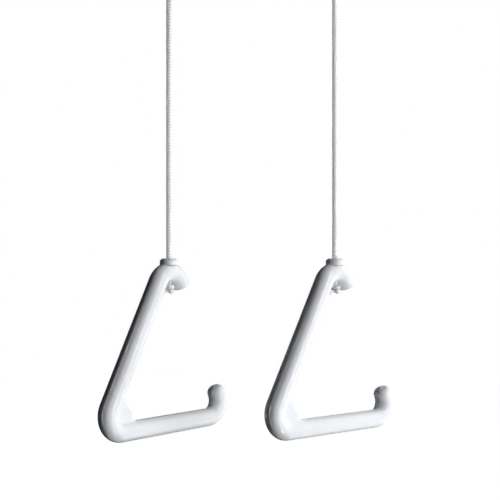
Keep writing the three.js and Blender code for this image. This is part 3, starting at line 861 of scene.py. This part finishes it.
class PULLEY_OT_handles(bpy.types.Operator):
    """Makes both handles, with the boss and the seat that hold the collar"""

    bl_idname = "pulley.handles"
    bl_label = "Handles"

    def execute(self, context):
        rope, handle, head, _ = settings()
        at = places(rope, head)
        seat = handle.collar_top - handle.collar_height - GAP
        flange = handle.collar / 2
        over, under = 9, -26  # past the bar on both sides
        steps = [
            ("UNION", *rod(flange, -BOSS_DEPTH, seat + 0.2, 96)),
            ("DIFFERENCE", *rod(flange + GAP, seat, over, 96)),
            ("DIFFERENCE", *rod(rope.diameter / 2 + ROPE_PLAY, under, over, 48)),
        ]
        plastic = shared(gloss_plastic, handle.tint)
        master = carved("handle_master", *handle_surface(handle), steps, plastic, 40)
        turns = {"left": handle.left_turn, "right": handle.right_turn}
        for name, sign in SIDES:
            piece = bpy.data.objects.new("handle_bar_" + name, master.data.copy())
            piece.data.name = piece.name
            context.scene.collection.objects.link(piece)
            move(piece, grip_place(at, sign), turns[name])
            settle(piece, "handle_" + name)
        remove(master)
        return {"FINISHED"}


class PULLEY_OT_collars(bpy.types.Operator):
    """Makes the collars: a chamfered ring over a spigot, with a rounded mouth for the rope"""

    bl_idname = "pulley.collars"
    bl_label = "Collars"

    def execute(self, context):
        rope, handle, head, _ = settings()
        at = places(rope, head)
        top = handle.collar_top
        seat = top - handle.collar_height
        flange, hole = handle.collar / 2, rope.diameter / 2 + ROPE_PLAY
        spigot, end = 4.8, seat - 6
        chamfer, chamfer_depth = 2.1, 1.8
        mouth, mouth_depth = 0.35, 0.6
        profile = [
            [hole, end], [spigot, end], [spigot, seat], [flange, seat],
            [flange, top - chamfer_depth], [flange - chamfer, top],
            [hole + mouth, top], [hole, top - mouth_depth],
        ]
        points, faces = turned(eased(profile, 0.45, 4), 96)
        plastic = shared(gloss_plastic, handle.tint)
        for name, sign in SIDES:
            ring = placed(points, at=grip_place(at, sign))
            piece = make_piece("collar_ring_" + name, ring, faces, plastic, 40)
            settle(piece, "collar_" + name)
        return {"FINISHED"}


# ---- Head --------------------------------------------------------------------------------------

WASHER = 1  # thickness of a thrust washer
WASHER_BROW = 2.5  # how far it reaches past the bush
BUSH_WALL = 1.7
HUB_WALL = 3.7  # round the bush
RIM_DEPTH = 5.5  # from the pitch circle in to a sheave's recess
RECESS = 2.4  # depth of the recess in each face
NUT_HEIGHT = 5  # of the hexagon, without its dome
BOLT_HEAD = 3
SLEEVE_RADIUS = 4.5
RIVET_OFF_RIM = 6  # from the rims to the middles of the lower rivets
RIVET_DROP = 12  # of the lower rivets, under the sheaves' middles
STRAP_BEND = 3  # inside radius
FRONT_PAD = 6  # thickness, as for the other pads
REAR_PAD = 3
TOP_PAD = 2


def powder_coat(tint):
    """Powder coat: the fine peel of the baked skin, a slow change in shade, and a roughness that
    falls a little where it has been handled."""
    finish = Finish("powder_coat", Roughness=0.42, IOR=1.5)
    finish.mottle(finish.noise(14, 3), tint, 0.93)
    finish.wear(finish.noise(60, 4), 0.34, 0.52)
    peel = finish.bump(finish.noise(900, 2), 0.00004, 0.6)
    finish.feed("Normal", finish.bump(finish.noise(240, 2), 0.00006, 0.5, peel))
    return finish.material


def nylon(tint):
    """Filled nylon: matte, faintly mottled, with fine lines from turning."""
    finish = Finish("nylon", Roughness=0.45, IOR=1.53)
    finish.mottle(finish.noise(120, 5), tint, 0.86, (0.35, 0.65))
    finish.wear(finish.noise(300, 3), 0.38, 0.56)
    finish.feed("Normal", finish.bump(finish.noise(1500, 3), 0.00003, 0.7))
    return finish.material


def zinc_plate(tint):
    """Bright zinc plate on steel: fine drawn lines and cloudy patches in the plating."""
    finish = Finish("zinc_plate", Metallic=1.0, Roughness=0.42)
    finish.mottle(finish.noise(180, 4), tint, 0.82, (0.35, 0.65))
    lines = finish.noise(700, 3, (1, 9, 1))
    finish.wear(lines, 0.36, 0.52)
    finish.feed("Normal", finish.bump(lines, 0.00002, 0.5))
    return finish.material


def bronze(tint):
    """Sintered bronze: grainy and slightly oily."""
    finish = Finish("bronze", Metallic=1.0, Roughness=0.4)
    grain = finish.noise(2200, 3)
    finish.mottle(grain, tint, 0.6, (0.35, 0.65))
    finish.wear(finish.noise(500, 3), 0.28, 0.55)
    finish.feed("Normal", finish.bump(grain, 0.00004, 0.6))
    return finish.material


def rubber(tint):
    """Soft rubber: a pebbled skin with dust in its hollows."""
    finish = Finish("rubber", Roughness=0.8, IOR=1.5)
    finish.mottle(finish.noise(70, 5), tint, 2.2, (0.45, 0.75))
    finish.wear(finish.noise(200, 3), 0.68, 0.92)
    finish.feed("Normal", finish.bump(finish.noise(1100, 2), 0.00015, 0.8))
    return finish.material


def levels(head):
    """Distances along the axles from the rope's plane: the sheave's face, the washers, both
    faces of each cheek, the door's faces and the lip."""
    face = head.width / 2
    cheek = face + WASHER + 2 * GAP
    back = cheek + head.steel
    door = back + GAP + FRONT_PAD
    rear = door + head.door_gap
    return SimpleNamespace(
        face=face,
        washer=face + GAP,
        cheek=cheek,
        back=back,
        front=-(cheek + head.cheek),
        door=door,
        rear=rear,
        lip=rear + REAR_PAD + GAP,
    )


def outline(half_x, half_z, rounding, steps=16):
    """A rectangle with round corners, in X and Z, as a closed loop: each corner's centre plus its
    radius times the cosine and sine of a quarter turn."""
    turn = np.linspace(0, np.pi / 2, steps + 1)
    quarter = (np.arange(4) * np.pi / 2)[:, None] + turn
    signs = np.array([[1, 1], [-1, 1], [-1, -1], [1, -1]])
    centre = signs * [half_x - rounding, half_z - rounding]
    x = centre[:, :1] + rounding * np.cos(quarter)
    z = centre[:, 1:] + rounding * np.sin(quarter)
    return np.stack([x.ravel(), z.ravel()], 1)


def slab(half_x, half_z, rounding, low, high, ease, steps=16):
    """A plate in X and Z from one Y to another: its outline at each depth stands in by the
    shortfall of a quarter circle near both faces, which rounds the edges, and a fan closes
    each face."""
    turn = np.linspace(0, np.pi / 2, 5)
    inset = ease * (1 - np.sin(turn))
    depth = ease * (1 - np.cos(turn))
    insets = np.concatenate([inset, inset[::-1]])
    depths = np.concatenate([low + depth, high - depth[::-1]])
    loops = np.array([outline(half_x - d, half_z - d, rounding - d, steps) for d in insets])
    rows, columns = loops.shape[:2]
    y = np.repeat(depths[:, None], columns, 1)
    grid = np.stack([loops[..., 0], y, loops[..., 1]], -1)
    return closed(grid, rows, columns, [[0, low, 0], [0, high, 0]])


def tube(inner, outer, low, high, ease=0.25):
    """A tube along Y with eased edges."""
    profile = eased([[inner, low], [outer, low], [outer, high], [inner, high]], ease)
    points, faces = turned(profile)
    return placed(points, along="Y"), faces


def drill(radius, x, z):
    """A rod along Y that cuts a hole through either cheek, for carved()."""
    points, faces = rod(radius, -20, 20, 48)
    return "DIFFERENCE", placed(points, at=(x, 0, z), along="Y"), faces


def dome(radius, base, rise, steps=8):
    """Profile of a low dome that ends on the axis: a quarter ellipse."""
    turn = np.linspace(0, np.pi / 2, steps + 1)[1:]
    arc = np.stack([radius * np.cos(turn), base + rise * np.sin(turn)], 1)
    arc[-1, 0] = 0
    return arc


def rivet_places(rope, head):
    """The rivets' names with their X and Z from the middle between the sheaves: the lower ones
    stand clear of the rims, and the upper one is halfway up to the rope."""
    x = rope.spacing / 2 - 2 * head.pitch - head.rim - RIVET_OFF_RIM
    low = -RIVET_DROP
    return (("lower_left", -x, low), ("lower_right", x, low), ("upper", 0, head.pitch / 2))


def fit(name, surface, at, finish, node, sharp=30.0):
    """Makes a piece from points and faces, in its place and with its CAD node settled."""
    points, faces = surface
    settle(make_piece(name, placed(points, at=at), faces, finish, sharp), node)


def fit_plate(name, rope, head, low, high, joined, node):
    """Makes a cheek: a long plate with round ends, joined with other surfaces and then drilled
    for both axles and the three rivets."""
    at = places(rope, head)
    radius = head.pitch + head.rim + head.margin
    plate = slab(at.sheave_x + radius, radius, radius, low, high, 0.6, 32)
    axle, pin = head.axle / 2 + GAP, head.rivet / 2 + GAP
    holes = [drill(axle, sign * at.sheave_x, 0) for _, sign in SIDES]
    holes += [drill(pin, x, z) for _, x, z in rivet_places(rope, head)]
    piece = carved(name, *plate, joined + holes, shared(powder_coat, head.coat), 32)
    move(piece, at.centre)
    settle(piece, node)


class PULLEY_OT_bracket(bpy.types.Operator):
    """Makes the bracket: the strap that hooks over the door, in one piece with the rear cheek"""

    bl_idname = "pulley.bracket"
    bl_label = "Bracket"

    def execute(self, context):
        rope, _, head, _ = settings()
        y = levels(head)
        strap = ("UNION", *self.strap(head, y))
        fit_plate("bracket", rope, head, y.cheek, y.back, [strap], "door_bracket")
        return {"FINISHED"}

    def strap(self, head, y):
        """The strap: a rounded rectangle carried up the front of the door, over it and down
        behind it. Its half width falls along a quarter circle at the lip's end, and its
        thickness along a smaller one, by the distance left to that end."""
        thick, ease, rounding = head.steel / 2, 0.8, 10.0
        top = TOP_PAD + GAP + thick + head.drop
        front, rear = y.back - thick, y.lip + thick
        foot = head.drop - head.lip
        corners = [[front, 0], [front, top], [rear, top], [rear, foot + rounding]]
        bend = thick + STRAP_BEND
        line, way = rounded_line(corners, [bend, bend], 4, 0.5)
        left = np.array([9, 8, 6.5, 5, 3.5, 2.3, 1.4, 0.8, 0.6, 0.4, 0.2, 0.08, 0.0])
        lip = np.stack([np.full(len(left), rear), foot + left], 1)
        left = np.concatenate([np.full(len(line), rounding), left])
        line = np.concatenate([line, lip])
        way = np.pad(way, ((0, len(lip)), (0, 0)), mode="edge")
        narrow = rounding - np.sqrt(rounding**2 - (rounding - left) ** 2)
        thin = ease - np.sqrt(np.clip(ease**2 - np.clip(ease - left, 0, ease) ** 2, 0, None))
        # The strap is a hair thinner than the cheek, so that no two faces coincide.
        section = outline(head.strap / 2, thick - 0.02, 0.9, 6)
        x = section[:, 0] - np.sign(section[:, 0]) * narrow[:, None]
        across = section[:, 1] * (1 - thin[:, None] / thick)
        normal = np.stack([-way[:, 1], way[:, 0]], 1)
        flat = line[:, None] + normal[:, None] * across[..., None]
        grid = np.stack([x, flat[..., 0], flat[..., 1]], -1)
        return closed(grid, *x.shape, [[0, *line[0]], [0, *line[-1]]])


class PULLEY_OT_cheek(bpy.types.Operator):
    """Makes the front cheek, with its drilled holes"""

    bl_idname = "pulley.cheek"
    bl_label = "Front Cheek"

    def execute(self, context):
        rope, _, head, _ = settings()
        y = levels(head)
        fit_plate("cheek_plate", rope, head, y.front, -y.cheek, [], "front_cheek")
        return {"FINISHED"}


class PULLEY_OT_sheaves(bpy.types.Operator):
    """Makes the grooved sheaves and their bushes, which turn together"""

    bl_idname = "pulley.sheaves"
    bl_label = "Sheaves"

    def execute(self, context):
        rope, _, head, _ = settings()
        at = places(rope, head)
        face = levels(head).face
        shaft = head.axle / 2 + GAP
        bush = shaft + BUSH_WALL
        wheel = self.wheel(rope, head, face, bush + GAP)
        sleeve = tube(shaft, bush, -face, face, 0.3)
        plastic, metal = shared(nylon, head.nylon), shared(bronze, head.bronze)
        for name, sign in SIDES:
            centre = sheave_place(at, sign)
            fit("wheel_" + name, wheel, centre, plastic, "sheave_" + name, 35)
            fit("bearing_" + name, sleeve, centre, metal, "bush_" + name)
        return {"FINISHED"}

    def wheel(self, rope, head, face, bore):
        """A sheave: its profile is turned round the axle, with a recess in each face and a half
        round groove that fits the rope with a small gap."""
        rim, recess = head.pitch + head.rim, head.pitch - RIM_DEPTH
        hub, web, mouth = bore + HUB_WALL, face - RECESS, head.groove / 2
        seat = rope.diameter / 2 + GAP
        turn = np.linspace(0, np.pi, 17)
        groove = np.stack([head.pitch - seat * np.sin(turn), -seat * np.cos(turn)], 1)
        front = [
            [bore, -face], [hub, -face], [hub, -web], [recess, -web], [recess, -face],
            [rim, -face], [rim, -mouth],
        ]
        back = [[radius, -y] for radius, y in front[::-1]]
        points, faces = turned(eased([*front, *groove, *back], 0.7, 4), 128)
        return placed(points, along="Y"), faces


class PULLEY_OT_axles(bpy.types.Operator):
    """Makes the axle bolts, their cap nuts and the thrust washers"""

    bl_idname = "pulley.axles"
    bl_label = "Axles"

    def execute(self, context):
        rope, _, head, _ = settings()
        at, y = places(rope, head), levels(head)
        zinc, plastic = shared(zinc_plate, head.zinc), shared(nylon, head.nylon)
        radius = head.axle / 2
        brow = radius + GAP + BUSH_WALL + WASHER_BROW
        nut = self.nut(y, radius)
        for name, sign in SIDES:
            centre = sheave_place(at, sign)
            bolt = carved("bolt_" + name, *self.bolt(y, radius), [self.socket(y)], zinc)
            move(bolt, centre)
            settle(bolt, "axle_bolt_" + name)
            fit("nut_" + name, nut, centre, zinc, "cap_nut_" + name, 25)
            for side, low in (("front_", -y.washer - WASHER), ("rear_", y.washer)):
                ring = tube(radius + GAP, brow, low, low + WASHER)
                node = "thrust_washer_" + side + name
                fit("washer_" + side + name, ring, centre, plastic, node)
        return {"FINISHED"}

    def bolt(self, y, radius):
        """A shank with a chamfered tip and a domed head: the head is a short drum under a quarter
        ellipse."""
        seat, tip = y.back + GAP, y.front - GAP - NUT_HEIGHT
        brow, drum, edge = radius + 2.4, seat + 0.8, 0.2
        shank = [[0, tip], [radius - 0.6, tip], [radius, tip + 0.6], [radius, seat - edge]]
        under = [[radius + edge, seat], [brow - edge, seat], [brow, seat + edge], [brow, drum]]
        points, faces = turned(np.concatenate([shank, under, dome(brow, drum, 2.2, 10)]))
        return placed(points, along="Y"), faces

    def socket(self, y):
        """The hexagon socket in the bolt's head."""
        top = y.back + GAP + BOLT_HEAD
        points, faces = rod(2.0, top - 1.7, top + 2, 6)
        return "DIFFERENCE", placed(points, along="Y"), faces

    def nut(self, y, radius):
        """A hexagon with a dome, and a blind bore. A ring's radius is the lesser of the hexagon's
        at that angle, which is the flat's distance over the cosine of the angle from its middle,
        and the chamfer's cone."""
        seat, flat = y.front - GAP, radius + 2
        bore, neck = radius + GAP, radius + GAP + 1.1
        beyond = 9  # past the hexagon's corners
        chamfer = np.array([[4.75, 0.0], [4.95, 0.12], [5.3, 0.32], [5.8, 0.6]]) * [flat / 5, 1]
        upper = (chamfer * [1, -1] + [0, NUT_HEIGHT])[::-1]
        profile = np.concatenate([
            [[0, 6.6], [bore, 6.6], [bore, 0.3], [bore + 0.3, 0]],
            chamfer,
            [[beyond, 0.9], [beyond, NUT_HEIGHT - 0.9]],
            upper,
            [[neck + 0.25, NUT_HEIGHT], [neck + 0.05, NUT_HEIGHT + 0.12]],
            [[neck, NUT_HEIGHT + 0.35]],
            dome(neck, NUT_HEIGHT + 0.35, 4.05, 14),
        ])
        points, faces = turned(profile, 96)
        angle = np.arctan2(points[:, 1], points[:, 0])
        hexagon = flat / np.cos((angle + np.pi / 6) % (np.pi / 3) - np.pi / 6)
        reach = np.hypot(points[:, 0], points[:, 1])
        points[:, :2] *= (np.minimum(reach, hexagon) / np.maximum(reach, 1e-9))[:, None]
        points[:, 2] = seat - points[:, 2]
        return placed(points, along="Y"), faces


class PULLEY_OT_rivets(bpy.types.Operator):
    """Makes the rivets and the distance sleeves round them"""

    bl_idname = "pulley.rivets"
    bl_label = "Rivets"

    def execute(self, context):
        rope, _, head, _ = settings()
        at, y = places(rope, head), levels(head)
        zinc, radius = shared(zinc_plate, head.zinc), head.rivet / 2
        span = y.cheek - GAP
        sleeve = tube(radius + GAP, SLEEVE_RADIUS, -span, span, 0.3)
        pin = self.pin(y, radius)
        for name, x, z in rivet_places(rope, head):
            centre = at.centre + [x, 0, z]
            fit("spacer_" + name, sleeve, centre, zinc, "distance_sleeve_" + name)
            fit("pin_" + name, pin, centre, zinc, "rivet_" + name)
        return {"FINISHED"}

    def pin(self, y, radius):
        """A shank between two low domes."""
        front, back = y.front - GAP, y.back + GAP
        brow, drum, edge = radius + 1.6, 0.3, 0.1
        cap = dome(brow, drum, 1.1)
        profile = np.concatenate([
            (cap * [1, -1] + [0, front])[::-1],
            [[brow, front - drum], [brow - edge, front], [radius, front]],
            [[radius, back], [brow - edge, back], [brow, back + drum]],
            cap + [0, back],
        ])
        points, faces = turned(profile, 48)
        return placed(points, along="Y"), faces


class PULLEY_OT_pads(bpy.types.Operator):
    """Makes the rubber pads that keep the bracket off the door"""

    bl_idname = "pulley.pads"
    bl_label = "Door Pads"

    def execute(self, context):
        rope, _, head, _ = settings()
        at, y = places(rope, head), levels(head)
        skin = shared(rubber, head.rubber)
        half_x, half_z, rounding = 6, 20, 3
        front = slab(half_x, half_z, rounding, y.back + GAP, y.door, 0.8, 8)
        _, rivet_x, _ = rivet_places(rope, head)[1]
        past_rivet = 14
        for name, sign in SIDES:
            centre = at.centre + [sign * (rivet_x + past_rivet), 0, 0]
            fit("door_pad_" + name, front, centre, skin, "front_pad_" + name)
        half_x, half_z, margin = 35, 14, 5  # the margin is from the lip's end
        rear = slab(half_x, half_z, rounding, y.rear, y.rear + REAR_PAD, 0.8, 8)
        place = (0, at.rope_y, half_z + margin - head.lip)
        fit("door_pad_rear", rear, place, skin, "rear_pad")
        points, faces = slab(half_x, 17, rounding, 0, TOP_PAD, 0.6, 8)
        laid = points[:, [0, 2, 1]]
        fit("door_pad_top", (laid, faces), (0, 0, 0), skin, "top_pad")
        return {"FINISHED"}


# ---- Stage -------------------------------------------------------------------------------------


# Upright soft boxes round the object: bearings from and to in degrees, from the camera towards
# the right, heights from and to in metres over the handles, brightness, and the kind of ray that
# the box is left out of.
SOFT_BOXES = (
    ("key", 40, 80, -0.7, 0.7, 4.3, "glossy"),
    ("side", 80, 120, -2.2, 2.2, 1.35, "glossy"),
    ("high_side", 60, 140, 0.7, 2.2, 1.47, "glossy"),
    ("back", 180, 200, -0.7, 0.7, 10.5, "glossy"),
    ("front_gleam", -10, 40, -1.5, 1.5, 1.4, "diffuse"),
    ("key_gleam", 54, 61, -1.5, 1.5, 15.0, "diffuse"),
    ("right_gleam", 60, 95, -1.5, 1.5, 1.0, "diffuse"),
    ("side_gleam", 95, 130, -2.2, 2.2, 2.0, "diffuse"),
    ("back_gleam", 130, 180, -1.5, 1.5, 0.82, "diffuse"),
    ("left_gleam", -57, -53, -1.5, 1.5, 14.0, "diffuse"),
)
# Flat ones over and under it: height in metres, brightness and what doesn't see it.
FLAT_BOXES = (
    ("top_gleam", 1.6, 1.12, "diffuse"),
    ("low_gleam", -1.6, 0.86, "diffuse"),
    ("top_fill", 1.6, 0.9, "glossy"),
    ("low_fill", -1.6, 0.9, "glossy"),
)
BOX_AWAY = 1.5  # metres from the middle of the handles to an upright box
FLAT_BOX = 2.4  # side of a flat one, in metres
AIM_DROP = 70  # from the handles' datum to their middle
FLOOR_RADIUS, FLOOR_THICKNESS = 8000, 20


def soft_box(name, place, aim, size, brightness, hidden):
    """A rectangular light with an even face, which the camera doesn't see. Its power is pi times
    its area times its brightness."""
    light = bpy.data.lights.new(name, "AREA")
    light.shape, light.size, light.size_y = "RECTANGLE", *size
    light.energy = math.pi * size[0] * size[1] * brightness
    lamp = bpy.data.objects.new(name, light)
    bpy.context.scene.collection.objects.link(lamp)
    lamp.location = place
    lamp.rotation_euler = (Vector(aim) - Vector(place)).to_track_quat("-Z", "Y").to_euler()
    lamp.visible_camera = False
    setattr(lamp, "visible_" + hidden, False)


class PULLEY_OT_stage(bpy.types.Operator):
    """Makes the camera, the pale floor and the soft lights"""

    bl_idname = "pulley.stage"
    bl_label = "Stage"

    def execute(self, context):
        rope, _, head, stage = settings()
        at = places(rope, head)
        scene = context.scene
        scene.view_settings.view_transform = "Standard"
        camera = bpy.data.objects.new("camera", bpy.data.cameras.new("camera"))
        scene.collection.objects.link(camera)
        camera.data.lens = stage.lens
        stand = (stage.side, at.rope_y - stage.distance, at.datum + stage.height)
        camera.location = Vector(stand) * MM
        camera.rotation_euler = (math.pi / 2, 0, 0)
        scene.camera = camera
        aim = np.array([0, at.rope_y, at.datum - AIM_DROP]) * MM
        for name, start, end, low, high, brightness, hidden in SOFT_BOXES:
            turn = math.radians((start + end) / 2)
            level = aim + [0, 0, (low + high) / 2]
            place = level + BOX_AWAY * np.array([math.sin(turn), -math.cos(turn), 0])
            wide = 2 * BOX_AWAY * math.tan(math.radians(end - start) / 2)
            share = stage.light if hidden == "glossy" else stage.sheen
            soft_box(name, place, level, (wide, high - low), brightness * share, hidden)
        for name, rise, brightness, hidden in FLAT_BOXES:
            place = aim + [0.3, -0.3, rise]
            share = stage.light if hidden == "glossy" else stage.sheen
            size = (FLAT_BOX, FLAT_BOX)
            soft_box(name, place, place - [0, 0, rise], size, brightness * share, hidden)
        self.floor(stage.floor)
        self.world(scene, stage.ambient)
        return {"FINISHED"}

    def floor(self, top):
        """A wide pale disc, which only the camera sees, so that it throws no light back up."""
        paper = Finish("floor_paper", Base_Color=(0.9, 0.9, 0.9, 1), Roughness=0.9)
        paper.shader.inputs["Emission Color"].default_value = (1, 1, 1, 1)
        paper.shader.inputs["Emission Strength"].default_value = 1.0
        paper.feed("Roughness", paper.ramp(paper.noise(3), 0.85, 0.95))
        points, faces = rod(FLOOR_RADIUS, top, top - FLOOR_THICKNESS, 96)
        floor = make_piece("floor", points, faces, paper.material)
        for kind in ("diffuse", "glossy", "transmission", "shadow"):
            setattr(floor, "visible_" + kind, False)

    def world(self, scene, ambient):
        """White to the camera, and nearly dark to everything else."""
        world = bpy.data.worlds.new("studio")
        scene.world = world
        world.use_nodes = True
        nodes, links = world.node_tree.nodes, world.node_tree.links
        path = nodes.new("ShaderNodeLightPath")
        mix = nodes.new("ShaderNodeMixShader")
        dim = nodes["Background"]
        dim.inputs["Color"].default_value = (1.0, 0.97, 0.93, 1)
        dim.inputs["Strength"].default_value = ambient
        bright = nodes.new("ShaderNodeBackground")
        bright.inputs["Color"].default_value = (1, 1, 1, 1)
        links.new(path.outputs["Is Camera Ray"], mix.inputs["Fac"])
        links.new(dim.outputs["Background"], mix.inputs[1])
        links.new(bright.outputs["Background"], mix.inputs[2])
        links.new(mix.outputs["Shader"], nodes["World Output"].inputs["Surface"])


# ---- Panel and running -------------------------------------------------------------------------


class PULLEY_PT_panel(bpy.types.Panel):
    """Lists the steps in the order that they are made"""

    bl_idname = "PULLEY_PT_panel"
    bl_label = "Shoulder Pulley"
    bl_space_type = "VIEW_3D"
    bl_region_type = "UI"
    bl_category = "Pulley"

    def draw(self, context):
        for step in STEPS:
            self.layout.operator(step.bl_idname)
        for group, kind in GROUPS.items():
            box = self.layout.box()
            for name in kind.__annotations__:
                box.prop(getattr(context.scene, group), name)


STEPS = (
    PULLEY_OT_stage,
    PULLEY_OT_knots,
    PULLEY_OT_rope,
    PULLEY_OT_handles,
    PULLEY_OT_collars,
    PULLEY_OT_bracket,
    PULLEY_OT_cheek,
    PULLEY_OT_sheaves,
    PULLEY_OT_axles,
    PULLEY_OT_rivets,
    PULLEY_OT_pads,
)
GROUPS = {
    "pulley_rope": PulleyRope,
    "pulley_handle": PulleyHandle,
    "pulley_head": PulleyHead,
    "pulley_stage": PulleyStage,
}
CLASSES = (*GROUPS.values(), *STEPS, PULLEY_PT_panel)


def register():
    for kind in CLASSES:
        bpy.utils.register_class(kind)
    for name, kind in GROUPS.items():
        setattr(bpy.types.Scene, name, PointerProperty(type=kind))


def unregister():
    for name in GROUPS:
        delattr(bpy.types.Scene, name)
    for kind in reversed(CLASSES):
        bpy.utils.unregister_class(kind)


def main():
    register()
    for step in STEPS:
        group, name = step.bl_idname.split(".")
        getattr(getattr(bpy.ops, group), name)()


if __name__ == "__main__":
    main()
